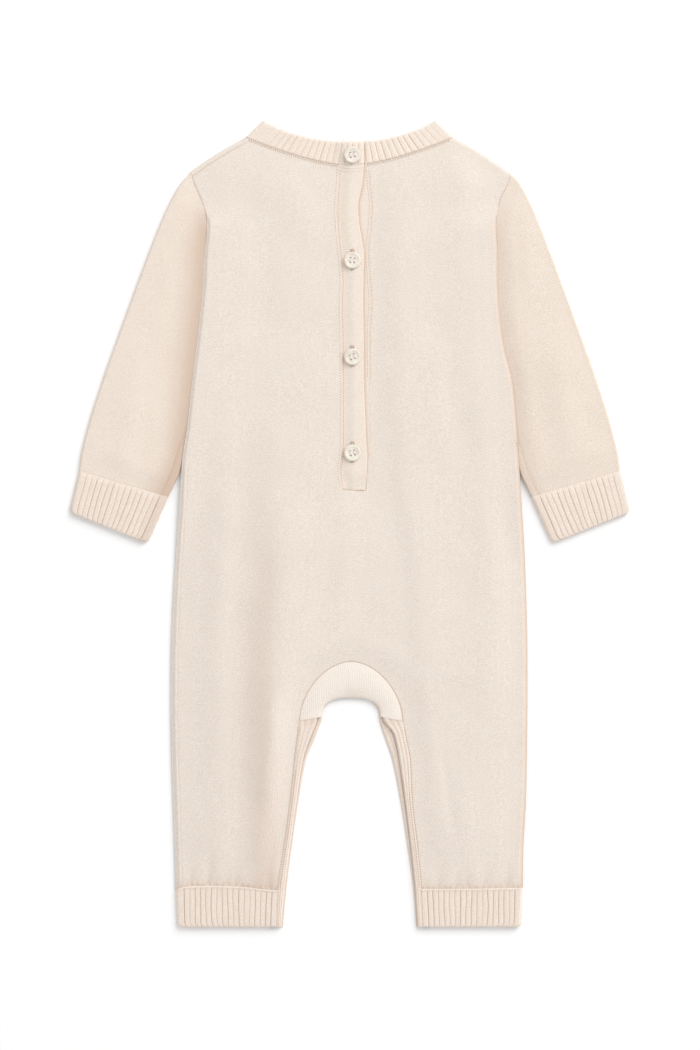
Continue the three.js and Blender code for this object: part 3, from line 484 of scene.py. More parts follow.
@dataclass(frozen=True)
class Pattern:
    """The outline and the levels that all the cut pieces share."""

    wall: float = CLOTH_WALL
    gap: float = 0.3
    butt: float = -0.06
    fold_round: float = 3.0
    side_round: float = 3.0
    edge_round: float = 2.6
    seam_drop: float = 0.32
    seam_reach: float = 0.9
    loft: float = 1.1
    hem_y: float = -247.2
    cuff_end_y: float = -274.0
    shoulder: Place = Place(70.6, 262.9)
    shoulder_crown: float = 1.1
    tuck: float = 1.9
    tuck_spread: float = 50.0
    tuck_reach: float = 32.0
    front_band: float = 9.5
    stand_level: float = 3.5
    slot_middle: float = 3.6
    slot_bottom: float = 22.8
    slot_fade: float = 26.0
    underarm_y: float = 138.7

    side: Table = Table(SIDE_ROWS)
    inseam_rows: Table = Table(INSEAM_ROWS)
    armhole: Table = Table(ARMHOLE_ROWS)
    slot: Table = Table(SLOT_ROWS)
    sleeve_inner: Table = Table(SLEEVE_INNER + SLEEVE_BEYOND)
    back_neck: NeckLine = NeckLine(59.2, 259.8, 14.2, 2.2, 70.6, 243.6, 19.3, 1.5)
    front_neck: NeckLine = NeckLine(59.2, 231, 43, 2.2, 70.6, 215, 47.9, 2.2)
    gusset_seam: Arch = Arch(0.9, -134, 35.1, 40.7, 1.8)
    gusset_edge: Arch = Arch(1.0, -131, 19.7, 12.7, 2.6)
    front_seam: Arch = Arch(0.9, -134, 30.4, 26.4, 2.2)
    front_edge: Arch = Arch(0.6, -134, 19.6, 16.7, 2.4)

    @property
    def back_level(self) -> float:
        """Underside of the back, over the front."""
        return self.wall + self.gap

    @property
    def layers(self) -> float:
        """Top of the two layers."""
        return self.back_level + self.wall

    def edge(self, side: Side, y: Any) -> Array:
        """Distance of the body's edge from the middle line."""
        return self.side.at(side.word, y)

    def edge_here(self, x: Array, y: Array) -> Array:
        """Distance of the body's edge on the side of each point."""
        return np.where(x < 0, self.edge(Side.LEFT, y), self.edge(Side.RIGHT, y))

    def folded(self, y: Any) -> Array:
        """1 where the body's side is a fold, and 0 where it is sewn to the sleeve's top."""
        return soft(212, 203, y)

    def inseam(self, side: Side, y: Any, what: str) -> Array:
        """Distance of an inseam line from the middle."""
        return self.inseam_rows.at(f"{side.word}_{what}", y)

    def leg(self, side: Side, y: Any, is_back: bool) -> Array:
        """Distance of a leg's inner edge from the middle, at the band of the back or of the front."""
        return self.butt + (self.inseam(side, y, "seam") if is_back
                            else self.inseam(side, y, "edge") + self.front_band)

    def top(self, neck: NeckLine, x: Array) -> Array:
        """Height of the shoulder and neck line of a panel at x."""
        across = np.abs(x)
        share = np.minimum(across / neck.seam_half, 1.0)
        at_neck = neck.seam_mid + neck.seam_rise * share ** neck.seam_power - self.butt
        tip = SIDE_ROWS[0]
        t = (across - self.shoulder.x) / (min(tip.left, tip.right) - self.shoulder.x)
        crown = self.shoulder_crown * np.sin(np.pi * np.clip(t, 0.0, 1.0))
        on_shoulder = lerp(self.shoulder.y - self.butt, tip.y, t) + crown
        return np.where(across <= self.shoulder.x, at_neck, on_shoulder)

    def hem(self, x: Any) -> Array:
        """Height of the seam between leg and cuff."""
        places = np.array(HEM_LINE, float)
        return smooth(places[:, 0], places[:, 1], x)

    def lift(self, x: Array, y: Array) -> Array:
        """How far the body is raised over a sleeve, highest at its edge."""
        edge = self.edge_here(x, y)
        under = edge - self.sleeve_inner.at("x", y) + self.tuck_reach
        spread = np.clip(np.where(y > self.underarm_y, self.tuck_spread, under), 1.0, self.tuck_spread)
        share = soft(0, 30, spread - 1)
        return self.tuck * share * soft(0, 1, 1 - (edge - np.abs(x)) / spread) * (1 - soft(198, 220, y))

    def back_loft(self, x: Array, y: Array) -> Array:
        """Height of the back over the level of its seams."""
        left, right = self.slot.at("left", y), self.slot.at("right", y)
        from_side = soft(0, 34, self.edge_here(x, y) - np.abs(x))
        from_neck = soft(0, 26, self.top(self.back_neck, x) - y)
        from_hem = 0.35 + 0.65 * soft(0, 30, y - self.hem_y)
        on_left = 1 - np.clip((x - left) / (right - left), 0.0, 1.0)
        beside_slot = np.maximum(on_left, soft(0, self.slot_fade, x - right))
        near_slot = soft(self.slot_bottom - self.slot_fade, self.slot_bottom + 4, y)
        from_slot = 1 - near_slot * (1 - beside_slot)
        arch = self.gusset_seam
        seam_here = np.where(x < 0, self.inseam(Side.LEFT, y, "seam"), self.inseam(Side.RIGHT, y, "seam"))
        from_leg = soft(0, 20, np.abs(x) - seam_here)
        from_arch = soft(0, 22, np.hypot(x - arch.x, y - arch.foot) - arch.half_width)
        from_crotch = lerp(from_leg, from_arch, soft(arch.foot - 14, arch.foot + 10, y))
        free = from_side * from_neck * from_slot * from_crotch
        form = heights(BACK_FOLDS, x, y) + heights(WAVES, x, y)
        resting = 1 - 0.5 * self.lift(x, y) / self.tuck
        return np.maximum(0.0, free * resting * (self.loft * from_hem + form))


class MeshMaker:
    """Collects four-cornered faces over shared points and turns them into a closed mesh."""

    def __init__(self) -> None:
        """Starts empty."""
        self.points: list[Array] = []
        self.faces: list[Array] = []
        self.coords: list[Array] = []
        # Painted shade of each point, from 0 to 1
        self.painted_shade_and_tone: list[Array] = []
        self.count = 0

    def grid(self, points: Array, uv: Array, painted_shade_and_tone: Any = 0.0) -> None:
        """Adds a grid of points, their knit coordinates, and the painted shade on them from 0 to 1."""
        rows, columns = points.shape[:2]
        index = np.arange(rows * columns).reshape(rows, columns) + self.count
        corners = [index[:-1, :-1], index[:-1, 1:], index[1:, 1:], index[1:, :-1]]
        self.points.append(points.reshape(-1, 3))
        self.faces.append(np.stack(corners, axis=-1).reshape(-1, 4))
        self.coords.append(uv.reshape(-1, 2))
        self.painted_shade_and_tone.append(np.broadcast_to(np.clip(painted_shade_and_tone, 0.0, 1.0), (rows, columns)).ravel())
        self.count += rows * columns

    def weld(self, grain: float = 500.0) -> tuple[Array, Array, Array]:
        """Joins points that lie on each other.

        Args:
            grain: Steps in a millimetre within which points are one.

        Returns:
            The first index of each joined point, the faces over them, and the faces' coordinates.
        """
        points, faces = np.concatenate(self.points), np.concatenate(self.faces)
        keys = np.round(points * grain).astype(np.int64)
        _, first, place = np.unique(keys, axis=0, return_index=True, return_inverse=True)
        return first, place.reshape(-1)[faces], np.concatenate(self.coords)[faces]


def make_mesh(name: str, points: Array, faces: Array, coords: Array, sharp: float) -> Mesh:
    """A mesh facing out, from points in millimetres.

    Args:
        name: The mesh's name.
        points: Points with a last axis of three.
        faces: Four point numbers a face, one of them repeated in a triangle.
        coords: Knit coordinates of each corner.
        sharp: Angle in degrees over which an edge stays sharp.

    Returns:
        The mesh, smooth, with a coordinate layer named knit.
    """
    a, b, c, d = (points[faces[:, k]] for k in range(4))
    volume = (a * np.cross(b, c)).sum() + (a * np.cross(c, d)).sum()
    if volume < 0:
        faces, coords = faces[:, ::-1], coords[:, ::-1]
    keep = faces != np.roll(faces, -1, axis=1)
    whole = keep.all(axis=1)
    polygons = faces[whole].tolist()
    corner_coords = [coords[whole].reshape(-1, 2)]
    for k in np.flatnonzero(keep.sum(axis=1) == 3):
        polygons.append(faces[k][keep[k]].tolist())
        corner_coords.append(coords[k][keep[k]])
    mesh = bpy.data.meshes.new(name)
    mesh.from_pydata((points * MM).tolist(), [], polygons)
    layer = mesh.uv_layers.new(name="knit")
    layer.data.foreach_set("uv", np.concatenate(corner_coords).astype(np.float32).ravel())
    mesh.update()
    mesh.shade_smooth()
    mesh.set_sharp_from_angle(angle=math.radians(sharp))
    return mesh


class Wall:
    """A closed cloth wall between an outer and an inner skin of matching grids."""

    def __init__(self) -> None:
        """Starts empty."""
        self.maker = MeshMaker()
        self.inner: list[Array] = []

    def grid(self, outer: Array, inner: Array, uv: Array, painted_shade_and_tone: Any = 0.0) -> "Wall":
        """Adds a grid of outer points with the inner points behind them, and returns this wall."""
        self.maker.grid(outer, uv, painted_shade_and_tone)
        self.inner.append(inner.reshape(-1, 3))
        return self

    def over(self, outer: Array, level: Any, painted_shade_and_tone: Array) -> "Wall":
        """Adds a flat grid of outer points over an inner skin at a level."""
        return self.grid(outer, points_of(outer[..., 0], outer[..., 1], level), grain_uv(outer), painted_shade_and_tone)

    def mesh(self, name: str) -> Mesh:
        """Closes the wall along every free edge and makes it a mesh."""
        first, faces, coords = self.maker.weld()
        outer = np.concatenate(self.maker.points)[first]
        inner = np.concatenate(self.inner)[first]
        base = len(outer)
        starts, ends = faces.ravel(), np.roll(faces, -1, axis=1).ravel()
        start_coords = coords.reshape(-1, 2)
        end_coords = np.roll(coords, -1, axis=1).reshape(-1, 2)
        key, back = starts * base + ends, ends * base + starts
        rim = (starts != ends) & ~np.isin(key, back)
        s, e = starts[rim], ends[rim]
        rim_faces = np.stack([e, s, base + s, base + e], axis=1)
        thick = np.array([CLOTH_WALL * MM, 0.0])
        rim_coords = np.stack([end_coords[rim], start_coords[rim], start_coords[rim] + thick,
                               end_coords[rim] + thick], axis=1)
        all_faces = np.concatenate([faces, base + faces[:, ::-1], rim_faces])
        all_coords = np.concatenate([coords, coords[:, ::-1], rim_coords])
        mesh = make_mesh(name, np.concatenate([outer, inner]), all_faces, all_coords, SMOOTH_ANGLE)
        # Painted shade as a point attribute, which the knit finishes mix into their base colour; the inner
        # skin gets at least a little
        painted_shade_and_tone = np.concatenate(self.maker.painted_shade_and_tone)[first]
        layer = mesh.attributes.new("painted_shade_and_tone", "FLOAT", "POINT")
        shades = np.concatenate([painted_shade_and_tone, np.maximum(painted_shade_and_tone, HIDDEN_SHADE)])
        layer.data.foreach_set("value", shades.astype(np.float32))
        return mesh


@dataclass(frozen=True)
class Cut:
    """The flat cut of a piece of cloth in millimetres, how it lies, and on what."""

    width: float
    length: float
    hold: Hold
    rests_on: tuple[str, ...] = ("floor",)
    fill: float = 1.0

    def declare(self, piece: Piece) -> None:
        """Makes a list of what the cut rests on, and does nothing more with it."""
        list(self.rests_on)


def put(name: str, data: Any) -> Piece:
    """Puts a new object in the scene."""
    made = bpy.data.objects.new(name, data)
    bpy.context.scene.collection.objects.link(made)
    return made


def add_piece(name: str, mesh: Mesh, material: Material,
              nodes: Sequence[str] = (), cut: Cut | None = None) -> Piece:
    """Puts a mesh on the part.

    Args:
        name: The piece's name.
        mesh: Its mesh, in place.
        material: Its finish.
        nodes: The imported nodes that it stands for.
        cut: Its flat cut, if it is a piece of cloth.

    Returns:
        The new object.
    """
    piece = put(name, mesh)
    mesh.materials.append(material)
    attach(piece, BODY)
    if nodes:
        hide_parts(*nodes)
    if cut:
        cut.declare(piece)
    LOG.info("%s: %d faces", name, len(mesh.polygons))
    return piece


def math_operator(operation: str, reflected: bool = False) -> Callable[["Sock", Any], "Sock"]:
    """An operator of a socket that adds a Math node.

    Args:
        operation: The node's operation.
        reflected: Whether the socket stands on the right of the sign.

    Returns:
        The method.
    """

    def apply(self: "Sock", other: Any) -> "Sock":
        """The node on this value and another."""
        return self.graph.math(operation, *((other, self) if reflected else (self, other)))

    return apply


class Sock:
    """A shader socket whose operators add Math nodes."""

    def __init__(self, graph: "Graph", socket: bpy.types.NodeSocket) -> None:
        """Wraps a socket of a graph."""
        self.graph = graph
        self.socket = socket

    def math(self, operation: str, *others: Any) -> "Sock":
        """A Math node on this value and others."""
        return self.graph.math(operation, self, *others)

    __add__, __radd__ = math_operator("ADD"), math_operator("ADD", reflected=True)
    __sub__, __rsub__ = math_operator("SUBTRACT"), math_operator("SUBTRACT", reflected=True)
    __mul__, __rmul__ = math_operator("MULTIPLY"), math_operator("MULTIPLY", reflected=True)
    __truediv__, __rtruediv__ = math_operator("DIVIDE"), math_operator("DIVIDE", reflected=True)
    __pow__, __rpow__ = math_operator("POWER"), math_operator("POWER", reflected=True)

    def __abs__(self) -> "Sock":
        """This without its sign."""
        return self.math("ABSOLUTE")

    def clamped(self) -> "Sock":
        """This kept between 0 and 1."""
        return self.math("MAXIMUM", 0.0).math("MINIMUM", 1.0)

    def fract(self) -> "Sock":
        """What is left of this after its whole number."""
        return self.math("FRACT")

    def cos(self) -> "Sock":
        """Cosine of this."""
        return self.math("COSINE")

    def sin(self) -> "Sock":
        """Sine of this."""
        return self.math("SINE")


class Graph:
    """The nodes of one material."""

    def __init__(self, name: str) -> None:
        """Starts a material with an output and nothing else."""
        self.material = bpy.data.materials.new(name)
        self.material.use_nodes = True
        self.tree = self.material.node_tree
        self.tree.nodes.clear()
        self.output = self.tree.nodes.new("ShaderNodeOutputMaterial")

    def node(self, kind: str, settings: dict[str, Any] | None = None,
             values: dict[Any, Any] | None = None) -> bpy.types.Node:
        """Adds a node.

        Args:
            kind: The node's type.
            settings: Its own settings, set first.
            values: Values or links of its inputs, by name or number.

        Returns:
            The node.
        """
        made = self.tree.nodes.new(kind)
        for name, value in (settings or {}).items():
            setattr(made, name, value)
        for name, value in (values or {}).items():
            target = made.inputs[name]
            if isinstance(value, Sock):
                self.tree.links.new(value.socket, target)
            else:
                target.default_value = value
        return made

    def out(self, node: bpy.types.Node, name: Any = 0) -> Sock:
        """One output of a node."""
        return Sock(self, node.outputs[name])

    def math(self, operation: str, *values: Any) -> Sock:
        """A Math node on up to three values."""
        return self.out(self.node("ShaderNodeMath", {"operation": operation}, dict(enumerate(values))))

    def mix(self, share: Any, a: Any, b: Any) -> Sock:
        """A mix of two colours."""
        return self.out(self.node("ShaderNodeMix", {"data_type": "RGBA"}, {0: share, 6: a, 7: b}), 2)

    def knit(self) -> tuple[Sock, Sock]:
        """The knit coordinates across and along, in millimetres."""
        chart = self.out(self.node("ShaderNodeUVMap", {"uv_map": "knit"}))
        parts = self.node("ShaderNodeSeparateXYZ", values={0: chart})
        return self.out(parts, 0) / MM, self.out(parts, 1) / MM

    def noise(self, size: float, detail: float = 2.0) -> Sock:
        """Soft random values over the object, with spots of about a size in millimetres."""
        where = self.out(self.node("ShaderNodeTexCoord"), "Object")
        values = {"Vector": where, "Scale": 1 / (size * MM), "Detail": detail, "Roughness": 0.55}
        return self.out(self.node("ShaderNodeTexNoise", values=values), 0)

    def bump(self, height: Sock, distance: float) -> Sock:
        """A normal raised by a height, over a distance in millimetres."""
        values = {"Height": height, "Distance": distance * MM, "Strength": 1.0}
        return self.out(self.node("ShaderNodeBump", values=values))

    def surface(self, values: dict[str, Any]) -> Material:
        """Ends the graph in a principled surface."""
        shader = self.node("ShaderNodeBsdfPrincipled", values=values)
        self.tree.links.new(shader.outputs[0], self.output.inputs["Surface"])
        return self.material


def linear(red: float, green: float, blue: float) -> tuple[float, float, float, float]:
    """A colour of a screen's 0 to 255 values as light."""
    parts = [value / 255 for value in (red, green, blue)]
    light = [part / 12.92 if part <= 0.04045 else ((part + 0.055) / 1.055) ** 2.4 for part in parts]
    return (*light, 1.0)


@dataclass(frozen=True)
class KnitFinish:
    """Fine cotton knit: columns of small V stitches, or the fine cross ribs of a button stand."""

    name: str
    colour: tuple[float, float, float]
    # Colour in the stitches' dips, as painted shade, and of the random mottling
    dip_shade_and_mottle: tuple[float, float, float]
    # Colour of the painted shade, which each point's painted shade mixes in
    shade: tuple[float, float, float] = (206, 177, 155)
    stitch: Stitch = Stitch.WALES
    wale: float = 1.5
    course: float = 1.05
    depth: float = 0.16
    fuzz: float = 0.35
    # How strongly the stitches' dips are painted darker, as painted shade
    contrast: float = 0.6
    grain: float = 3.5
    mottle: float = 0.35

    def relief(self, graph: Graph) -> Sock:
        """Height of the stitches from 0 to 1."""
        across, along = graph.knit()
        drift = graph.noise(11.0) - 0.5
        if self.stitch is Stitch.ROWS:
            row = (along / self.course + drift * 0.5) * (2 * math.pi)
            return row.cos() * 0.5 + 0.5
        leg = abs((across / self.wale + drift * 0.7).fract() - 0.5) * 2
        turn = (along / self.course - leg + drift * 2.5) * (2 * math.pi)
        return (turn.cos() * 0.35 + 0.65) * (leg * math.pi).sin() ** 0.7

    def material(self) -> Material:
        """The finish as a material."""
        graph = Graph(self.name)
        height = self.relief(graph)
        patches = graph.noise(16.0, 3.0) - 0.5
        yarn = graph.noise(0.85, 3.0) - 0.5
        # The stitches' dips are painted darker, as painted shade; the patches and the yarn vary the tone at
        # random
        share = (height - 0.5) * self.contrast + patches * self.mottle + yarn * self.grain + 0.5
        colour = graph.mix(share.clamped(), linear(*self.dip_shade_and_mottle), linear(*self.colour))
        # Painted shade read from the point attribute and mixed over the knit's colour
        painted_shade_and_tone = graph.out(graph.node("ShaderNodeAttribute", {"attribute_name": "painted_shade_and_tone"}), "Fac")
        return graph.surface({
            "Base Color": graph.mix(painted_shade_and_tone, colour, linear(*self.shade)),
            "Roughness": 0.94,
            "Specular IOR Level": 0.2,
            "Sheen Weight": 0.1,
            "Sheen Roughness": 0.6,
            "Sheen Tint": linear(*self.colour),
            "Normal": graph.bump(height + yarn * self.fuzz, self.depth),
        })


@dataclass(frozen=True)
class ThreadFinish:
    """Matt cotton sewing thread."""

    name: str
    colour: tuple[float, float, float]

    def material(self) -> Material:
        """The finish as a material."""
        graph = Graph(self.name)
        fibres = graph.noise(0.35)
        # A darker tone of the thread, which its fibres take at random
        painted_shade_and_tone = tuple(value * 0.93 for value in self.colour)
        colour = graph.mix(fibres, linear(*painted_shade_and_tone), linear(*self.colour))
        return graph.surface({
            "Base Color": colour,
            "Roughness": 0.8,
            "Specular IOR Level": 0.3,
            "Normal": graph.bump(fibres, 0.08),
        })


@dataclass(frozen=True)
class ShellFinish:
    """Pale polished shell with faint clouds."""

    name: str
    pale: tuple[float, float, float]
    cloud: tuple[float, float, float]

    def material(self) -> Material:
        """The finish as a material."""
        graph = Graph(self.name)
        clouds = graph.noise(3.2, 3.0)
        grain = graph.noise(0.8)
        share = (clouds - 0.38) * 3.2 + (grain - 0.5) * 0.3
        colour = graph.mix(share.clamped(), linear(*self.pale), linear(*self.cloud))
        return graph.surface({
            "Base Color": colour,
            "Roughness": grain * 0.12 + 0.34,
            "Specular IOR Level": 0.4,
            "Coat Weight": 0.15,
            "Coat Roughness": 0.25,
            "Normal": graph.bump(clouds, 0.05),
        })


@dataclass(frozen=True)
class Finishes:
    """All the finishes of the garment."""

    body: KnitFinish = KnitFinish("jersey_body", (246, 235, 225), (231, 218, 206))
    sleeve: KnitFinish = KnitFinish("jersey_sleeve", (244, 232, 219), (231, 215, 200), contrast=0.3)
    # A lighter copy of the sleeve's knit for the left sleeve: painted light that makes up for that sleeve
    # rendering darker than the right one
    sleeve_left: KnitFinish = KnitFinish("jersey_sleeve_left", (248, 236, 223), (236, 220, 205),
                                         contrast=0.3)
    gusset: KnitFinish = KnitFinish("jersey_gusset", (250, 241, 232), (236, 224, 212), wale=3.0,
                                    contrast=1.3, grain=2.0, mottle=0.2)
    rib: KnitFinish = KnitFinish("ribbing", (250, 237, 225), (237, 221, 207), depth=0.18, contrast=0.3)
    neck: KnitFinish = KnitFinish("neck_ribbing", (249, 237, 225), (237, 222, 208), contrast=0.3)
    stand: KnitFinish = KnitFinish("stand_knit", (241, 229, 217), (230, 217, 204), stitch=Stitch.ROWS,
                                   course=1.45, depth=0.04, contrast=0.16)
    thread: ThreadFinish = ThreadFinish("sewing_thread", (243, 231, 219))
    # Dark strands between the stitches: painted shade in the needle holes
    needle_hole_shade: ThreadFinish = ThreadFinish("needle_hole_shade", (203, 177, 153))
    worked: ThreadFinish = ThreadFinish("buttonhole_thread", (224, 206, 188))
    shell: ShellFinish = ShellFinish("shell_button", (239, 231, 220), (222, 212, 198))


@dataclass
class Panel:
    """The front or the back of the body, in two halves that meet in the middle."""

    pattern: Pattern
    is_back: bool
    row_step: float
    interior: int
    top_base: float = 190.0
    side_seam: float = 4.0
    side_seam_top: float = 44.0
    shoulder_seam: float = 3.4
    outer_insets: tuple[float, ...] = (0, 0.25, 0.6, 1.1, 1.7, 2.3, 3.0, 3.45, 3.7, 4.0, 4.3, 4.55,
                                       5.2, 6.4)
    inner_insets: tuple[float, ...] = (2.2, 1.3, 0.8, 0.45, 0.2, 0)
    top_insets: tuple[float, ...] = (0, 0.25, 0.6, 1.1, 1.7, 2.4, 2.85, 3.1, 3.4, 3.7, 4.0, 4.8, 6.0)
    hem_insets: tuple[float, ...] = (4.2, 3.1, 2.2, 1.5, 0.9, 0.4, 0)
    gather_pitch: float = 4.1
    spread_fade: float = 60.0
    # Painted shade along the body's right edge, where its rounded fold faces the lamp
    right_strip_shade: float = 0.6

    @property
    def neck(self) -> NeckLine:
        """The neck line of this panel."""
        return self.pattern.back_neck if self.is_back else self.pattern.front_neck

    @property
    def arch(self) -> Arch:
        """The crotch arch of this panel."""
        return self.pattern.gusset_seam if self.is_back else self.pattern.front_seam

    def inner_edge(self, side: Side, y: Any) -> Array:
        """Where a half ends towards the middle."""
        p, arch = self.pattern, self.arch
        middle, arched = arch.x, arch.x + side.value * arch.half(y)
        if self.is_back:
            down = np.clip((p.slot_bottom - y) / (p.slot_bottom - arch.top), 0.0, 1.0)
            middle = lerp(p.slot_middle, arch.x, down)
        x = np.where(y >= arch.top, middle, arched)
        if self.is_back:
            x = np.where(y > p.slot_bottom, p.slot.at(side.word, y), x)
        return np.where(y < arch.foot, side.value * p.leg(side, y, self.is_back), x)

    def spread(self, side: Side, y: Array) -> Array:
        """How much wider the inner columns lie under the slot, so that no other column bends there."""
        p = self.pattern
        wide = abs(p.slot_middle - float(p.slot.at(side.word, p.slot_bottom))) / self.inner_insets[0]
        below = soft(p.slot_bottom - self.spread_fade, p.slot_bottom, y)
        return 1 + wide * np.where(self.is_back & (y <= p.slot_bottom), below, 0.0)

    def columns(self, outer: Array, inner: Array, side: Side, spread: Array) -> tuple[Array, Array, Array]:
        """Columns of a half.

        Args:
            outer: The outer edge of each row.
            inner: The inner edge of each row.
            side: The half's side.
            spread: How much wider the inner columns lie in each row.

        Returns:
            The columns' x, their insets from the outer edge, and those from the inner edge.
        """
        first, last = np.array(self.outer_insets, float), np.array(self.inner_insets, float)
        last = last[None, :] * spread[:, None]
        start = outer[:, None] - side.value * first[-1]
        stop = inner[:, None] + side.value * last[:, :1]
        shares = between(self.interior)
        x = np.concatenate([outer[:, None] - side.value * first, lerp(start, stop, shares),
                            inner[:, None] + side.value * last], axis=1)
        from_outer = np.full(x.shape, FAR)
        from_outer[:, :first.size] = first
        from_inner = np.full(x.shape, FAR)
        from_inner[:, -last.shape[1]:] = last
        return x, from_outer, from_inner

    def rows(self) -> Array:
        """Heights of the rows from the top block's base to the hem."""
        p, arch = self.pattern, self.arch
        beside, under = self.top_base - p.slot_bottom, p.slot_bottom - arch.top
        upper = np.linspace(self.top_base, p.slot_bottom + 0.3, round(beside / self.row_step))
        belly = np.linspace(p.slot_bottom, arch.top + 1.5, round(under / self.row_step))
        turns = np.linspace(0, np.pi / 2, round(1.3 * arch.rise / self.row_step) + 4)
        crotch = arch.round(turns)[1]
        last = p.hem_y + self.hem_insets[0] + 1.2
        legs = np.linspace(arch.foot - 2.2, last, round((arch.foot - last) / self.row_step))
        hem = p.hem_y + np.array(self.hem_insets)
        return np.concatenate([upper, belly, crotch, legs, hem])

    def half(self, side: Side) -> tuple[Array, ...]:
        """The points of a half and their insets from its outer, inner and top edges."""
        p, tip = self.pattern, SIDE_ROWS[0]
        insets = np.array(self.top_insets, float)
        count = round((tip.y + 12 - self.top_base) / self.row_step)
        shares = np.concatenate([np.zeros(insets.size), between(count)])
        insets = np.concatenate([insets, np.full(count, insets[-1])])
        base = np.array([self.top_base])
        tip_x = side.value * p.edge(side, np.array([tip.y]))
        top_x = self.columns(tip_x, self.inner_edge(side, base), side, np.ones(1))[0]
        line = p.top(self.neck, top_x)
        top_y = lerp(line - insets[:, None], self.top_base, shares[:, None])
        edge_y = lerp(tip.y - insets, self.top_base, shares)
        outer = side.value * p.edge(side, edge_y)
        inner = self.inner_edge(side, top_y[:, -1])
        top_block = self.columns(outer, inner, side, np.ones(outer.size))
        rows = self.rows()
        main_block = self.columns(side.value * p.edge(side, rows), self.inner_edge(side, rows), side,
                                  self.spread(side, rows))
        x, from_outer, from_inner = (np.concatenate(pair) for pair in zip(top_block, main_block))
        y = np.concatenate([top_y, np.broadcast_to(rows[:, None], main_block[0].shape)])
        far = np.full(rows.size, FAR)
        on_top = np.where(shares == 0, insets, FAR)
        from_top = np.broadcast_to(np.concatenate([on_top, far])[:, None], y.shape)
        return x, y, from_outer, from_inner, from_top

    def relief(self, side: Side, x: Array, y: Array, from_outer: Array,
               from_top: Array) -> tuple[Array, Array]:
        """Seam grooves and gathers of the outer skin.

        Args:
            side: The half's side.
            x: Places across.
            y: Places along.
            from_outer: Insets from the outer edge.
            from_top: Insets from the top edge.

        Returns:
            The height of the relief and the painted shade on it: in the gathers above the hem, along the left
            leg's flank, along the right edge and in the left side's seams.
        """
        p = self.pattern
        up = y - p.hem_y
        rise = heights(HEM_PUCKERS, x, up) * soft(0.0, 2.0, up)
        ticks = 0.5 + 0.5 * np.cos(2 * np.pi * x / self.gather_pitch + 1.5 * np.sin(x / 9))
        # Painted shade in the gathers just above the hem and along the left leg's flank
        painted_shade_and_tone = (0.08 + 0.42 * ticks ** 3) * bell(up, 2.4) + LEG_SHADE.height(x, y)
        painted_shade_and_tone = painted_shade_and_tone + 0.16 * bell(up, 7) + 0.35 * np.clip(-rise, 0.0, 0.4)
        if side is Side.RIGHT:
            return rise, painted_shade_and_tone + self.right_strip_shade * bell(from_outer, 2.2) * p.folded(y)
        # Painted shade in the groove of the left side seam and in the wrapped shoulder seam
        on_seam = 0.4 * (1 - soft(self.side_seam_top - 8, self.side_seam_top, y))
        groove = bell(from_outer - self.side_seam, 0.42)
        lip = 0.12 * bell(from_outer - self.side_seam + 1.2, 0.7)
        on_shoulder = soft(p.shoulder.x - 1, p.shoulder.x + 4, np.abs(x))
        wrapped = bell(from_top - self.shoulder_seam, 0.4) * on_shoulder
        rise = rise + on_seam * (lip - 0.35 * groove) - 0.3 * wrapped
        return rise, painted_shade_and_tone + 0.25 * on_seam * groove + 0.45 * wrapped

    def skins(self, side: Side) -> tuple[Array, Array, Array]:
        """The outer and inner points of a half, and the painted shade on them."""
        p = self.pattern
        x, y, from_outer, from_inner, from_top = self.half(side)
        lift = p.lift(x, y)
        settled = y + (p.hem(x) - p.hem_y) * (1 - soft(0, 40, y - p.hem_y))
        round_side = p.folded(y)
        round_top = np.where(np.abs(x) > p.shoulder.x + 1, 1.0, 0.0)
        fold_side = soft_drop(from_outer, p.wall, lerp(p.side_round, p.edge_round, soft(10, 40, y)))
        fold_top = edge_drop(from_top, p.wall, p.fold_round)
        seam_side = edge_drop(from_outer, p.seam_drop, p.seam_reach)
        seam_top = edge_drop(from_top, p.seam_drop, p.seam_reach)
        sewn = np.where((y <= p.slot_bottom) & (y >= self.arch.top), 0.0, 1.0)
        beside_stand = np.where(y > p.slot_bottom, 0.3, 1.0)
        seam_in = sewn * beside_stand * edge_drop(from_inner, p.seam_drop, p.seam_reach)
        seam_hem = edge_drop(y - p.hem_y, 0.16, p.seam_reach)
        drop = np.maximum.reduce([lerp(seam_side, fold_side, round_side), lerp(seam_top, fold_top, round_top),
                                  seam_in, seam_hem])
        step_side = round_side * p.wall * np.clip(1 - from_outer / p.fold_round, 0.0, 1.0)
        step_top = round_top * p.wall * np.clip(1 - from_top / p.fold_round, 0.0, 1.0)
        inner_x, inner_y = x - side.value * step_side, settled - step_top
        if self.is_back:
            level = p.back_level + lift + p.back_loft(x, y)
            rise, painted_shade_and_tone = self.relief(side, x, y, from_outer, from_top)
            # Painted shade along the sewn seams of the middle, the neck and the armhole
            plain = np.where(y > p.slot_bottom, 0.15, 0.9)
            seams = sewn * plain * bell(from_inner, 0.5)
            seams = np.maximum(seams, (1 - round_top) * bell(from_top, 0.5))
            seams = np.maximum(seams, 0.36 * (1 - round_side) * bell(from_outer, 0.5))
            painted_shade_and_tone = painted_shade_and_tone + 0.45 * seams
            outer = points_of(x, settled, level + p.wall - drop + rise * (1 - drop / p.wall))
            return outer, points_of(inner_x, inner_y, level), painted_shade_and_tone
        room = 0.1 + 0.8 * p.back_loft(x, y)
        inside = soft(0, 12, np.minimum(from_outer, p.edge_here(x, y) - np.abs(x)))
        hang = np.clip(heights(FRONT_FOLDS, x, y), 0.0, None) * inside
        raised = lift + np.minimum(hang, room)
        outer = points_of(x, settled, raised + drop)
        return outer, points_of(inner_x, inner_y, raised + p.wall), np.zeros(x.shape)

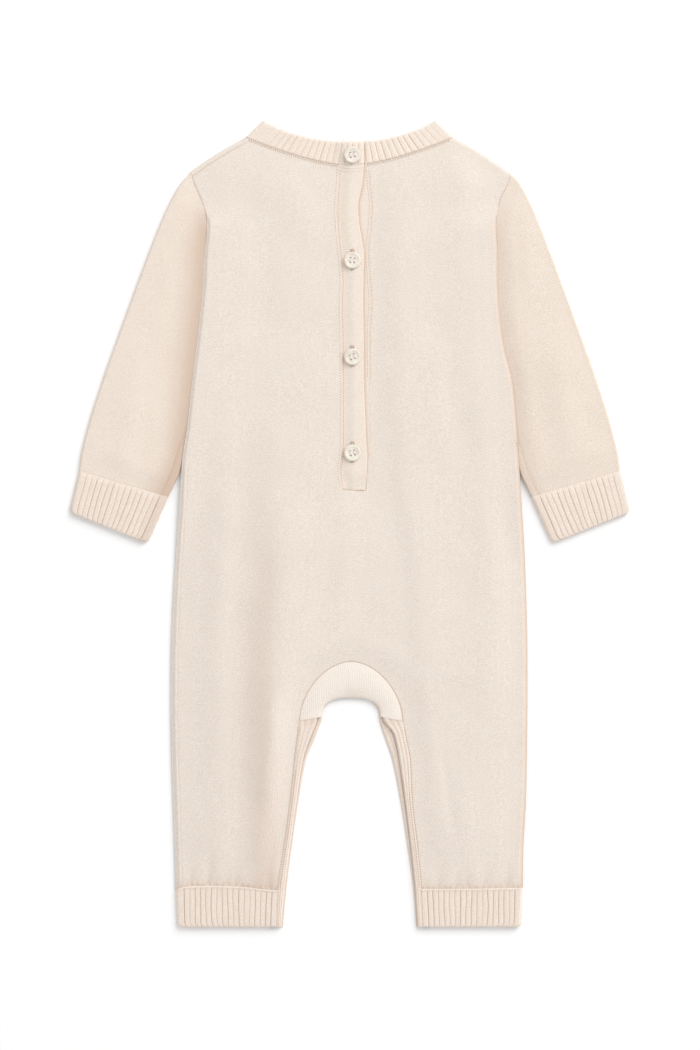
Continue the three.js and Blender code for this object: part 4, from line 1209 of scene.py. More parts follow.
    def build(self, finishes: Finishes) -> Piece:
        """Makes the panel."""
        wall = Wall()
        for side in Side:
            outer, inner, painted_shade_and_tone = self.skins(side)
            if side is Side.RIGHT:
                outer, inner, painted_shade_and_tone = outer[:, ::-1], inner[:, ::-1], painted_shade_and_tone[:, ::-1]
            wall.grid(outer, inner, grain_uv(outer), painted_shade_and_tone)
        name = "back_panel" if self.is_back else "front_panel"
        under = ("front_cloth", "sleeve_cloth_left", "sleeve_cloth_right") if self.is_back else ("floor",)
        cut = Cut(244, 512, Hold.LAID, under, fill=0.78 if self.is_back else 0.76)
        return add_piece(name.replace("panel", "cloth"), wall.mesh(name), finishes.body.material(),
                         [name], cut)


@dataclass
class FlatTube:
    """A tube of cloth pressed flat: its top and its underside join round two half-round folds."""

    pattern: Pattern
    path: Callable[[Array], Array]
    arc_steps: int = 9

    def stretch(self, shares: Array, is_open: bool) -> Array:
        """Shares of the flat width, clear of the folds."""
        width = np.linalg.norm(self.path(np.array([[1.0]])) - self.path(np.array([[0.0]])), axis=-1)
        clear = self.pattern.layers / 2 / width
        return lerp(clear, 1.0 if is_open else 1 - clear, shares)

    def arc(self, at: float, towards: float) -> tuple[Array, Array]:
        """Outer and inner points round the fold at one end, from the top to the underside."""
        half = self.pattern.layers / 2
        start = self.path(np.array([[at]]))
        inward = self.path(np.array([[towards]])) - start
        inward = inward / np.linalg.norm(inward, axis=-1, keepdims=True)
        turns = np.pi * between(self.arc_steps)
        centre = start + inward * half

        def ring(radius: float) -> Array:
            """Points of one radius."""
            flat = centre - inward * (radius * np.sin(turns))[None, :, None]
            return points_of(flat[..., 0], flat[..., 1], half + radius * np.cos(turns)[None, :])

        return ring(half), ring(half - self.pattern.wall)

    def rings(self, top: Array, bottom: Array, loft: Array, ribs: Array, under: Array, painted_shade_and_tone: Array,
              is_open: bool = False) -> tuple[Array, Array, Array]:
        """The outer and inner points of all rings.

        Args:
            top: Shares across the top.
            bottom: Shares across the underside.
            loft: Height of the top's wall over its level.
            ribs: Height of the ribs on the top.
            under: Depth of the grooves in the underside.
            painted_shade_and_tone: Shade on the top, from 0 to 1.
            is_open: Whether the end at share 1 stays open.

        Returns:
            The outer and inner points, with axes of ring, place and coordinate, and the painted shade on
            them.
        """
        p = self.pattern
        over = self.path(self.stretch(top[None, :], is_open))
        below = self.path(self.stretch(bottom[None, :], is_open))
        over_out = points_of(over[..., 0], over[..., 1], p.layers + loft + ribs)
        over_in = points_of(over[..., 0], over[..., 1], np.broadcast_to(p.back_level + loft, over.shape[:2]))
        below_out = points_of(below[..., 0], below[..., 1], under)
        below_in = points_of(below[..., 0], below[..., 1], p.wall)
        first_out, first_in = self.arc(0.0, 0.1)
        painted_shade_and_tone = np.broadcast_to(painted_shade_and_tone, over.shape[:2])
        if is_open:
            outer = [over_out[:, ::-1], first_out, below_out]
            inner = [over_in[:, ::-1], first_in, below_in]
            shades = [painted_shade_and_tone[:, ::-1], np.zeros(first_out.shape[:2]), np.zeros(below_out.shape[:2])]
        else:
            last_out, last_in = self.arc(1.0, 0.9)
            outer = [over_out, last_out, below_out[:, ::-1], first_out[:, ::-1], over_out[:, :1]]
            inner = [over_in, last_in, below_in[:, ::-1], first_in[:, ::-1], over_in[:, :1]]
            shades = [painted_shade_and_tone, np.broadcast_to(painted_shade_and_tone[:, -1:], last_out.shape[:2]), np.zeros(below_out.shape[:2]),
                      np.broadcast_to(painted_shade_and_tone[:, :1], first_out.shape[:2]), painted_shade_and_tone[:, :1]]
        return np.concatenate(outer, axis=1), np.concatenate(inner, axis=1), np.concatenate(shades, axis=1)


@dataclass(frozen=True)
class Ribs:
    """Broad ribs with narrow grooves between them, across a stretch of ribbing."""

    count: int
    depth: float = 0.46
    groove: float = 0.066
    crown: float = 0.14
    rise: float = 0.4
    firm_first: float = 1.35
    firm_last: float = 1.35
    # How strong the painted shade in the grooves is
    shade: float = 0.44
    phases: tuple[float, ...] = (0, 0.03, 0.065, 0.11, 0.17, 0.3, 0.5, 0.7, 0.83, 0.89, 0.935, 0.97)

    def shares(self) -> Array:
        """Shares across, with each groove and crest on a point."""
        phases = np.array(self.phases)
        inside = (np.arange(self.count)[:, None] + phases[None, :]).ravel() / self.count
        return np.append(inside, 1.0)

    def dip(self, shares: Array) -> Array:
        """How far into a groove each share lies, each groove a little different and the outermost firmer."""
        number = np.round(shares * self.count)
        away = np.abs(shares * self.count - number)
        own = 1 + 0.2 * np.sin(number * 2.4) + 0.12 * np.sin(number * 5.1 + 1)
        own = np.where(number == 1, self.firm_first, own)
        own = np.where(number == self.count - 1, self.firm_last, own)
        own = np.where((number == 0) | (number == self.count), 0.0, own)
        return own * bell(away, self.groove)

    def height(self, shares: Array) -> Array:
        """Height of the ribbing over its level."""
        crowned = self.crown * np.abs(np.sin(np.pi * shares * self.count))
        return self.rise + crowned - self.depth * np.minimum(self.dip(shares), 1.3)


@dataclass(frozen=True)
class CuffForm:
    """What the ribbing of a cuff does along its length."""

    bead: float = 0.0
    length: float = 27.0
    rows: tuple[float, ...] = (0, 0.015, 0.035, 0.06, 0.1, 0.17, 0.26, 0.38, 0.5, 0.62, 0.74, 0.84,
                               0.9, 0.945, 0.975, 0.992, 1)
    corner: float = 0.12
    corner_inset: float = 2.6

    def ends(self) -> Array:
        """Strength of the ribs at each row: soft at the seam, a little weaker at the free end."""
        along = np.array(self.rows)
        return (0.15 + 0.85 * soft(0.0, 0.12, along)) * (0.6 + 0.4 * soft(0, 0.06, 1 - along))

    def tuck_in(self) -> Array:
        """How far each row's ends come in, which rounds the cuff's corners."""
        t = np.clip((np.array(self.rows) - 1 + self.corner) / self.corner, 0.0, 1.0)
        return self.corner_inset * (1 - np.sqrt(1 - 0.98 * t * t))

    def skins(self, tube: FlatTube, ribs: Ribs, shade: Any, is_open: bool) -> tuple[Array, Array, Array]:
        """The rings of a cuff.

        Args:
            tube: The flat tube that it follows.
            ribs: Its ribs.
            shade: Painted shade on the top, beside the painted shade in the grooves.
            is_open: Whether the end at share 1 stays open.

        Returns:
            The outer and inner points and the painted shade on them.
        """
        along, shares = np.array(self.rows)[:, None], ribs.shares()[None, :]
        ends = self.ends()[:, None]
        bead = bell(along - 0.03, 0.022)
        rim = edge_drop((1 - along) * self.length, 0.32, 1.0)
        level = ribs.rise * (1.0 if self.bead else 0.1 + 0.9 * soft(0.0, 0.1, along))
        height = level + (ribs.height(shares) - ribs.rise) * ends + self.bead * bead - rim
        dip = np.minimum(ribs.dip(shares), 1.3)
        # Painted shade in the grooves, less on the bead
        painted_shade_and_tone = ribs.shade * dip * ends * (1 - 0.8 * bead * (self.bead > 0)) + shade
        under = 0.4 * np.minimum(dip, 1.0) * ends + rim
        return tube.rings(ribs.shares(), ribs.shares(), 0.0, height, under, painted_shade_and_tone, is_open)


def wandering(shares: Array, along: Array, turns: tuple[float, ...]) -> Array:
    """Shares across a cuff moved a little, so that its ribs wander by two waves of given turns."""
    a, b, c, d = turns
    sway = np.sin(a * shares + b * along) + 0.7 * np.sin(c * shares - d * along)
    return shares + 0.004 * sway * np.sin(np.pi * shares)


def ring_uv(outer: Array) -> Array:
    """Knit coordinates of rings: across follows the ring, and along follows the rings' middles."""
    around = run(outer[outer.shape[0] // 2, :, :2])
    along = run(outer[..., :2].mean(axis=1))
    grid = np.broadcast_arrays(around[None, :] + outer[..., 2], along[:, None])
    return np.stack(grid, axis=-1) * MM


@dataclass
class Sleeve:
    """A sleeve whose top lies under the body from the armhole down."""

    pattern: Pattern
    side: Side
    stations: int = 112
    top_columns: int = 52
    under_columns: int = 30
    end_insets: tuple[float, ...] = (0, 0.25, 0.6, 1.1, 1.7, 2.4)
    bend_reach: float = 0.3
    seam_inset: float = 3.8

    def along(self) -> Array:
        """Shares of the length, closer together at the two seams."""
        length = Line(SLEEVE_OUTER).length
        ends = np.array(self.end_insets) / length
        middle = np.linspace(ends[-1], 1 - ends[-1], self.stations)[1:-1]
        return np.concatenate([ends, middle, 1 - ends[::-1]])

    def path(self, along: Array) -> Callable[[Array], Array]:
        """The line across the flat sleeve at each share of its length."""
        p, side = self.pattern, self.side
        outer = Line(SLEEVE_OUTER).at(along)[:, None, :]
        inner = Line(SLEEVE_INNER).at(along)[:, None, :]
        first, last = np.array(SLEEVE_OUTER[0]), np.array(SLEEVE_INNER[0])
        bend = np.maximum(0.0, 1 - along / self.bend_reach)[:, None, None] ** 2
        hole_top, hole_end = ARMHOLE_ROWS[0].y, ARMHOLE_ROWS[-1].y

        def across(shares: Array) -> Array:
            """Places at shares across."""
            hole_y = lerp(hole_top, hole_end, shares)
            hole = np.stack([p.edge(side, hole_y) + p.armhole.at("out", hole_y), hole_y], axis=-1)
            t = shares[..., None]
            flat = lerp(outer, inner, t) + bend * (hole - lerp(first, last, t))
            return flat * np.array([side.value, 1.0])

        return across

    def build(self, finishes: Finishes) -> Piece:
        """Makes the sleeve."""
        p, side = self.pattern, self.side
        along = self.along()
        tube = FlatTube(p, self.path(along))
        top = np.linspace(0, 1, self.top_columns)
        bottom = np.linspace(0, 1, self.under_columns)
        places = tube.path(tube.stretch(top[None, :], False))
        x, y = places[..., 0], places[..., 1]
        beyond = np.abs(x) - p.edge(side, y)
        clear = lerp(0.4, 1.0, soft(0, 12, beyond))
        ends = (0.4 + 0.6 * soft(0, 0.1, along))[:, None] * (0.08 + 0.92 * soft(0, 0.1, 1 - along)[:, None])
        form = heights(SLEEVE_FOLDS, x, y) + heights(WAVES, x, y)
        crown = np.sin(np.pi * top)[None, :] ** 0.85
        loft = np.maximum(0.0, clear * ends * crown * (p.loft + form))
        at_ends = np.minimum(along, 1 - along)[:, None] * Line(SLEEVE_OUTER).length
        drop = edge_drop(at_ends, 0.12, p.seam_reach)
        width = np.linalg.norm(places[:, -1] - places[:, 0], axis=-1)[:, None]
        inner_edge = (1 - top)[None, :] * width
        seam = bell(inner_edge - self.seam_inset, 0.6) * soft(-30, 30, 80 - y)
        nearest = np.maximum(np.minimum(beyond, inner_edge), 0.0)
        # Painted shadow of the body on the sleeve beside its edge and inner edge, stronger on the left, with
        # painted shade along the underarm seam, at both ends and along the right sleeve's outer fold
        strength, reach = (0.7, 12.0) if side is Side.LEFT else (0.28, 8.0)
        started = 1 - soft(196, 224, y)
        painted_shade_and_tone = strength * started * bell(nearest, reach) + 0.2 * seam
        painted_shade_and_tone = painted_shade_and_tone + 0.08 * bell(at_ends, 0.6)
        if side is Side.RIGHT:
            painted_shade_and_tone = painted_shade_and_tone + 0.14 * bell(top[None, :] * width, 1.8)
        plain = np.zeros((along.size, 1))
        outer, inner, shades = tube.rings(top, bottom, loft, -drop - 0.2 * seam, plain, painted_shade_and_tone)
        for skin in (outer, inner):
            inside = np.clip(p.edge(side, skin[..., 1]) - np.abs(skin[..., 0]), 0.0, None)
            held = p.lift(skin[..., 0], skin[..., 1]) / (p.layers + p.gap)
            under = soft(0, 4, inside) * (1 - soft(200, 215, skin[..., 1]))
            skin[..., 2] *= lerp(1.0, np.clip(held, 0.3, 1.0), under)
        shoulder, wrist = SLEEVE_OUTER[0], SLEEVE_OUTER[-1]
        turn = side.value * math.atan2(wrist.x - shoulder.x, shoulder.y - wrist.y)
        wall = Wall().grid(outer, inner, grain_uv(outer, turn), shades)
        name = f"sleeve_{side.word}"
        cut = Cut(192, 212, Hold.FOLDED, fill=0.86)
        # The left sleeve takes the lighter copy, painted light
        finish = finishes.sleeve_left if side is Side.LEFT else finishes.sleeve
        return add_piece(f"sleeve_cloth_{side.word}", wall.mesh(name), finish.material(),
                         [name], cut)


@dataclass
class SleeveCuff:
    """The ribbed end of a sleeve."""

    pattern: Pattern
    side: Side
    outer_top: Place = SLEEVE_OUTER[-1]
    inner_top: Place = SLEEVE_INNER[-1]
    outer_end: Place = Place(190.8, 8.0)
    inner_end: Place = SLEEVE_BEYOND[0]
    ribs: Ribs = Ribs(15, firm_first=0.9)
    form: CuffForm = CuffForm()

    def path(self, shares: Array) -> Array:
        """Places at shares across every row, the ribs wandering a little."""
        along, tuck_in = np.array(self.form.rows)[:, None], self.form.tuck_in()[:, None]
        start = lerp(np.array(self.outer_top), np.array(self.outer_end), along)[:, None, :]
        stop = lerp(np.array(self.inner_top), np.array(self.inner_end), along)[:, None, :]
        spare = tuck_in / np.linalg.norm(stop - start, axis=-1)
        placed = lerp(spare, 1 - spare, wandering(shares, along, (9, 5, 25, 6)))
        return lerp(start, stop, placed[..., None]) * np.array([self.side.value, 1.0])

    def build(self, finishes: Finishes) -> Piece:
        """Makes the cuff."""
        tube = FlatTube(self.pattern, self.path)
        # Painted shade over the cuff's inner end, stronger on the left
        strength = 0.3 if self.side is Side.LEFT else 0.14
        shade = strength * soft(0.82, 1.0, self.ribs.shares())[None, :] ** 1.5
        outer, inner, shades = self.form.skins(tube, self.ribs, shade, is_open=False)
        name = f"sleeve_cuff_{self.side.word}"
        wall = Wall().grid(outer, inner, ring_uv(outer), shades)
        cut = Cut(120, 29, Hold.FOLDED)
        return add_piece(f"cuff_cloth_{self.side.word}", wall.mesh(name), finishes.rib.material(),
                         [name], cut)


@dataclass
class LegCuff:
    """The ribbed end of a leg, open at the inner leg, where the bands close it."""

    pattern: Pattern
    side: Side
    ribs: Ribs = Ribs(18)
    taper: float = 0.9
    form: CuffForm = CuffForm(bead=0.45)

    def build(self, finishes: Finishes) -> Piece:
        """Makes the cuff."""
        p, side = self.pattern, self.side
        along = np.array(self.form.rows)
        plain_y = lerp(p.hem_y, p.cuff_end_y, along)
        outer_x = p.edge(side, np.full(1, p.hem_y)) - self.taper * along - self.form.tuck_in()
        top_x, bottom_x = p.leg(side, plain_y, True), p.leg(side, plain_y, False)

        def across(shares: Array) -> Array:
            """Places at shares from the fold to the band."""
            placed = wandering(shares, along[:, None], (8, 4, 23, 7))
            x = side.value * lerp(outer_x[:, None], top_x[:, None], placed)
            y = lerp(p.hem(x) + 0.05, p.cuff_end_y, along[:, None])
            return np.stack([x, np.broadcast_to(y, x.shape)], axis=-1)

        tube = FlatTube(p, across)
        outer, inner, shades = self.form.skins(tube, self.ribs, 0.0, is_open=True)
        for skin in (outer, inner):
            skin[:, -1, 0] = side.value * bottom_x
        wall = Wall().grid(outer, inner, ring_uv(outer), shades)
        name = f"leg_cuff_{side.word}"
        cut = Cut(142, 27.5, Hold.FOLDED)
        return add_piece(f"leg_cuff_cloth_{side.word}", wall.mesh(name), finishes.rib.material(),
                         [name], cut)


@dataclass
class Neckband:
    """One ribbed strip that runs from the button stand round the neck and back over its own end."""

    pattern: Pattern
    under_end: float = -2.0
    upper_end: float = 9.6
    width: float = 16.0
    right_ribs: Ribs = Ribs(16, 0.34, 0.085, rise=0.14, firm_first=1.0, firm_last=1.0, shade=0.3)
    left_ribs: Ribs = Ribs(18, 0.34, 0.085, rise=0.14, firm_first=1.0, firm_last=1.0, shade=0.3)
    front_ribs: Ribs = Ribs(36, 0.4, 0.11, rise=0.0, firm_first=1.0, firm_last=1.0)
    rows: tuple[float, ...] = (0, 0.02, 0.05, 0.1, 0.18, 0.28, 0.4, 0.5, 0.6, 0.7, 0.8, 0.88, 0.94, 0.98, 1)
    arc_steps: int = 9

    def back(self, down: Array, start: Array, stop: Array, ribs: Ribs, is_upper: bool) -> tuple[Array, ...]:
        """The ribbed points of one side of the back, and the painted shade on them."""
        p = self.pattern
        shares = ribs.shares()[None, :]
        across = lerp(start, stop, shares)
        x, y = p.back_neck.place(across, down)
        level = np.full(x.shape, p.back_level)
        if is_upper:
            rising = lerp(soft(-12.0, -1.0, x), soft(-6.9, 2.3, x), soft(0.35, 1.0, down))
            level = lerp(p.back_level, p.stand_level, rising)
        fade = 1 - 0.75 * soft(0.62, 0.95, np.abs(across))
        ends = soft(0, 0.1, down) * (0.4 + 0.6 * soft(0, 0.1, 1 - down)) * fade
        rise = ribs.rise + (ribs.height(shares) - ribs.rise) * ends
        rise = rise - edge_drop(down * self.width, 0.6, 1.6)
        rise = rise - edge_drop((1 - down) * self.width, 0.4, 1.4)
        # Painted shade in the grooves and along the seam
        painted_shade_and_tone = ribs.shade * ribs.dip(shares) * ends + 0.22 * bell((1 - down) * self.width, 0.6)
        if is_upper:
            end = (self.upper_end - x).clip(0, None)
            rise = rise - edge_drop(end, 0.8, 1.1)
        else:
            rise = np.where(x < self.upper_end + 1.5, np.minimum(rise, 0.0), rise)
            # Painted shade where the upper band's end lies over this one
            painted_shade_and_tone = painted_shade_and_tone + 0.5 * bell(x - self.upper_end, 1.1)
        return points_of(x, y, level + p.wall + rise), points_of(x, y, level), painted_shade_and_tone

    def fold(self, side: Side, down: Array) -> tuple[Array, Array]:
        """The points round the fold at one shoulder, from the top to the underside."""
        p = self.pattern
        half = p.layers / 2
        x, y = p.back_neck.place(np.full(down.shape, float(side.value)), down)
        turns = np.pi * between(self.arc_steps)[None, :]
        centre = x - side.value * half
        skins = [points_of(centre + side.value * radius * np.sin(turns), np.broadcast_to(y, centre.shape),
                           half + radius * np.cos(turns)) for radius in (half, half - p.wall)]
        return skins[0], skins[1]

    def build(self, finishes: Finishes) -> Piece:
        """Makes the band."""
        p = self.pattern
        down = np.array(self.rows)[:, None]
        middle = lerp(p.back_neck.edge_half, p.back_neck.seam_half, down)
        clear = 1 - p.layers / 2 / middle
        down = np.broadcast_to(down, (down.size, 1))
        right = self.back(down, self.under_end / middle, clear, self.right_ribs, False)
        left = self.back(down, -clear, self.upper_end / middle, self.left_ribs, True)
        right_fold, left_fold = self.fold(Side.RIGHT, down), self.fold(Side.LEFT, down)
        shares = self.front_ribs.shares()[None, :]
        across = lerp(clear, -clear, shares)
        x, y = p.front_neck.place(across, down)
        ends = soft(0, 0.1, down) * soft(0, 0.1, 1 - down)
        groove = self.front_ribs.depth * self.front_ribs.dip(shares) * ends
        front = points_of(x, y, groove), points_of(x, y, p.wall)
        parts = ((right[k], right_fold[k], front[k], left_fold[k][:, ::-1], left[k]) for k in (0, 1))
        outer, inner = (np.concatenate(part, axis=1) for part in parts)
        plain = np.zeros((down.size, outer.shape[1] - right[2].shape[1] - left[2].shape[1]))
        painted_shade_and_tone = np.concatenate([right[2], plain, left[2]], axis=1)
        wall = Wall().grid(outer, inner, ring_uv(outer), painted_shade_and_tone)
        cut = Cut(330, 18, Hold.FOLDED, ("front_cloth",))
        return add_piece("neckband_cloth", wall.mesh("neckband"), finishes.neck.material(),
                         ["neckband"], cut)


@dataclass
class ButtonStand:
    """The upper band with its buttonholes and the lower band that carries the buttons."""

    pattern: Pattern
    top_y: float = 243.7
    bottom_y: float = 22.85
    under_left: float = -2.0
    under_bottom: float = 31.0
    row_step: float = 1.6
    insets: tuple[float, ...] = (0, 0.12, 0.35, 0.7, 1.2, 1.9)
    columns: int = 9
    edge_roll: float = 0.75
    button_ys: tuple[float, ...] = (179.2, 113.6, 48.3)

    def at_neck(self, x: Array, y: Array) -> Array:
        """Heights of the rows, the top ones along the seam of the neckband."""
        rise = self.pattern.top(self.pattern.back_neck, x) - self.top_y
        return y[:, None] + rise * soft(self.top_y - 9, self.top_y, y)[:, None]

    def strip(self, y: Array, left: Array, right: Array) -> tuple[Array, Array, Array]:
        """Columns of a strip, and their insets from its left and right edges."""
        near = np.array(self.insets)
        shares = between(self.columns)
        start, stop = left[:, None] + near[-1], right[:, None] - near[-1]
        left, right = left[:, None], right[:, None]
        x = np.concatenate([left + near, lerp(start, stop, shares), right - near[::-1]], axis=1)
        return x, x - left, right - x

    def build(self, finishes: Finishes) -> list[Piece]:
        """Makes both bands."""
        p = self.pattern
        material = finishes.stand.material()
        ends = np.array(self.insets)
        steps = round((self.top_y - self.bottom_y) / self.row_step)
        middle = np.linspace(self.top_y - ends[-1], self.bottom_y + ends[-1], steps)
        y = np.concatenate([self.top_y - ends[:-1], middle, self.bottom_y + ends[-2::-1]])
        left, right = p.slot.at("left", y) + p.butt, p.slot.at("edge", y)
        x, from_left, from_right = self.strip(y, left, right)
        rows = self.at_neck(x, y)
        drop = np.maximum(edge_drop(from_left, 0.1, p.seam_reach), edge_drop(from_right, self.edge_roll, 1.2))
        drop = np.maximum(drop, edge_drop(rows - self.bottom_y, 0.3, 0.9))
        sway = 0.12 * np.sin(rows / 11.0) * np.sin(rows / 27.0 + 1)
        pads = sum(bell(rows - at, 6.5) for at in self.button_ys)
        press = -0.2 * pads * bell(x - 1.9, 6.0)
        pressed = 1.15 * (1 - soft(self.bottom_y, self.bottom_y + 13, rows)) * soft(0, 6, from_left)
        level = lerp(p.back_level + 0.05, p.stand_level, soft(0.3, 9.5, from_left)) + sway - pressed
        outer = points_of(x, rows, level + p.wall - drop + press)
        # Painted shade along the seam, at the bottom end and along the roll of the free edge
        painted_shade_and_tone = 0.1 * bell(from_left, 0.5) + 0.12 * bell(rows - self.bottom_y, 0.4)
        painted_shade_and_tone = painted_shade_and_tone + 0.16 * bell(from_right, 1.1)
        upper = Wall().over(outer, level, painted_shade_and_tone)
        cut = Cut(16.5, 222, Hold.LAID, ("stand_under",))
        pieces = [add_piece("stand_upper", upper.mesh("stand_upper"), material,
                            ["placket_upper"], cut)]

        low_y = np.linspace(self.top_y + 0.6, self.under_bottom, steps)
        low_right = p.slot.at("right", low_y) - p.butt
        x, from_left, from_right = self.strip(low_y, np.full(low_y.shape, self.under_left), low_right)
        rows = self.at_neck(x, low_y)
        drop = np.maximum(edge_drop(from_right, 0.1, p.seam_reach), edge_drop(from_left, 1.0, 5.0))
        outer = points_of(x, rows, p.layers - drop)
        shown = x - p.slot.at("edge", rows)
        # A little painted shade all over the lower band, more where it shows beside the upper band's free
        # edge, and along its seam
        painted_shade_and_tone = 0.08 + 0.5 * bell(shown, 1.3) + 0.1 * bell(from_right, 0.5)
        lower = Wall().over(outer, p.back_level, painted_shade_and_tone)
        cut = Cut(15.5, 220, Hold.LAID, ("front_cloth",))
        pieces.append(add_piece("stand_under", lower.mesh("stand_under"), material,
                                ["placket_lower"], cut))
        return pieces


@dataclass
class Gusset:
    """The half moon in the back of the crotch, smooth and softly rounded at its lower edge."""

    pattern: Pattern
    around: int = 96
    across: tuple[float, ...] = (0, 0.01, 0.025, 0.05, 0.09, 0.15, 0.23, 0.32, 0.42, 0.52, 0.62, 0.72, 0.8,
                                 0.87, 0.92, 0.96, 0.985, 1)

    def build(self, finishes: Finishes) -> Piece:
        """Makes the gusset."""
        p = self.pattern
        turns = np.linspace(-np.pi / 2, np.pi / 2, self.around)
        seam_x, seam_y = p.gusset_seam.round(turns)
        towards = np.stack([p.gusset_seam.x - seam_x, p.gusset_seam.foot - seam_y])
        towards = towards / np.hypot(*towards) * p.butt
        seam_x, seam_y = seam_x + towards[0], seam_y + towards[1]
        edge_x, edge_y = p.gusset_edge.round(turns)
        share = np.array(self.across)[None, :]
        x = lerp(seam_x[:, None], edge_x[:, None], share)
        y = lerp(seam_y[:, None], edge_y[:, None], share)
        width = np.hypot(seam_x - edge_x, seam_y - edge_y)[:, None]
        drop = np.maximum(edge_drop(share * width, p.seam_drop, p.seam_reach),
                          edge_drop((1 - share) * width, 1.0, 2.6))
        loft = np.sin(np.pi * share) * (0.75 + 0.3 * np.cos(turns)[:, None])
        creases = (fold(0.2, 2.6, 3.4, (1.0, -97), (0.4, -106), (0.8, -116)),
                   fold(-0.25, 1.2, 1.6, (-34, -131), (-28, -129), (-20, -124)),
                   fold(-0.2, 3, 3, (30, -118), (25, -126), (22, -131)))
        loft = loft + heights(creases, x, y)
        outer = points_of(x, y, p.layers + loft - drop)
        step = p.wall * np.clip(1 - (1 - share) * width / 3.2, 0, 1)
        inner = points_of(x, y + step * np.cos(turns)[:, None], p.back_level + loft)
        # Painted shade along the seam and at the arch's feet, and darker in a soft spot low in the middle
        painted_shade_and_tone = 0.8 * bell(share * width, 0.45)
        painted_shade_and_tone = painted_shade_and_tone + 0.2 * bell(x - 2.2, 7) * bell(y + 115, 3.2)
        painted_shade_and_tone = painted_shade_and_tone + 0.35 * bell(y - p.gusset_seam.foot, 0.9)
        wall = Wall().grid(outer, inner, grain_uv(outer), painted_shade_and_tone)
        cut = Cut(72, 44, Hold.LAID, ("front_cloth", "front_band_cloth"), fill=0.62)
        return add_piece("gusset_cloth", wall.mesh("gusset"), finishes.gusset.material(),
                         ["gusset"], cut)


@dataclass
class InseamBands:
    """The narrow ribbed bands of the inner legs: two on the back and one all round the front."""

    pattern: Pattern
    top_y: float = -134.0
    top_slant: float = 2.6
    row_step: float = 2.2
    ribs: int = 3
    columns: int = 25
    rise: float = 0.36

    def rows(self) -> Array:
        """Heights of the rows down a leg."""
        p = self.pattern
        count = round((self.top_y - p.cuff_end_y) / self.row_step)
        return np.linspace(self.top_y, p.cuff_end_y, count)

    def across(self) -> Array:
        """Shares across a band, closer together at its edges."""
        return 0.5 - 0.5 * np.cos(np.linspace(0, np.pi, self.columns))

    def ribbed(self, share: Array, width: Array, first: float) -> Array:
        """Height of the lengthwise ribs, full from a first distance on."""
        ribs = self.rise * (1 - np.cos(np.pi * (share * self.ribs % 1.0)) ** 6)
        return ribs * soft(0, first, share * width) * soft(0, 1.2, (1 - share) * width)

    def back(self, side: Side, finishes: Finishes) -> Piece:
        """Makes one band of the back."""
        p = self.pattern
        y, share = self.rows()[:, None], self.across()[None, :]
        y = y + self.top_slant * share * soft(self.top_y - 9, self.top_y, y)
        seam, free = p.inseam(side, y, "seam"), p.inseam(side, y, "band")
        x = side.value * lerp(seam, free, share)
        inset, beyond = share * (seam - free), (1 - share) * (seam - free)
        drop = np.maximum(edge_drop(inset, p.seam_drop, 1.0), edge_drop(beyond, 1.1, 1.6))
        ribs = self.ribbed(share, seam - free, 2.0)
        end = edge_drop(y - p.cuff_end_y, 0.4, 1.2)
        outer = points_of(x, y, p.layers + ribs - drop - end)
        # Painted shade between the ribs and at the band's top end
        painted_shade_and_tone = 0.12 * (1 - ribs / self.rise).clip(0, 1) + 0.25 * bell(self.top_y - y, 1.2)
        wall = Wall().over(outer, p.back_level, painted_shade_and_tone)
        name = f"inseam_band_back_{side.word}"
        cut = Cut(10, 143, Hold.LAID, ("front_band_cloth",), fill=0.62)
        return add_piece(f"back_band_cloth_{side.word}", wall.mesh(name), finishes.rib.material(),
                         [name], cut)

    def front(self, finishes: Finishes) -> Piece:
        """Makes the band of the front, down one leg, over the crotch and down the other."""
        p = self.pattern
        share = self.across()[None, :]
        y = self.rows()[1:][:, None]

        def line(arch: Array, out: float) -> Array:
            """A line up the left leg, round the arch and down the right leg."""
            left, right = (np.concatenate([side.value * (p.inseam(side, y, "edge") + out), y], axis=1)
                           for side in Side)
            return np.concatenate([left[::-1], arch, right])

        turns = np.linspace(-np.pi / 2, np.pi / 2, 60)
        arch_edge = np.stack(p.front_edge.round(turns), axis=1)
        arch_seam = np.stack(p.front_seam.round(turns), axis=1)
        arch_seam = lerp(arch_seam, np.array([p.front_seam.x, p.front_seam.foot]), 0.012)
        edge, seam = line(arch_edge, 0.0), line(arch_seam, p.front_band)
        flat = lerp(edge[:, None, :], seam[:, None, :], share[..., None])
        width = np.linalg.norm(edge - seam, axis=1)[:, None]
        inset = share * width
        ribs = self.ribbed(share, width, 1.2)
        fall = edge_drop(inset, 0.55, 1.4)
        grooves = 0.45 * (1 - ribs / self.rise) * soft(0, 2.0, inset)
        outer = points_of(flat[..., 0], flat[..., 1], grooves)
        inner = points_of(flat[..., 0], flat[..., 1], p.wall - fall + ribs - self.rise)
        uv = np.stack(np.broadcast_arrays(inset, run(edge)[:, None]), axis=-1) * MM
        band = np.where(flat[..., 0] < 0, p.inseam(Side.LEFT, flat[..., 1], "band"),
                        p.inseam(Side.RIGHT, flat[..., 1], "band"))
        shown = band - np.abs(flat[..., 0])
        # A little painted shade all over, and more where the band shows in the hollow beside the back band's
        # free edge
        painted_shade_and_tone = 0.06 + 0.5 * bell(shown.clip(0, None), 0.8)
        wall = Wall().grid(outer, inner, uv, painted_shade_and_tone)
        cut = Cut(10, 340, Hold.LAID)
        name = "inseam_band_front"
        return add_piece("front_band_cloth", wall.mesh(name), finishes.rib.material(),
                         [name], cut)


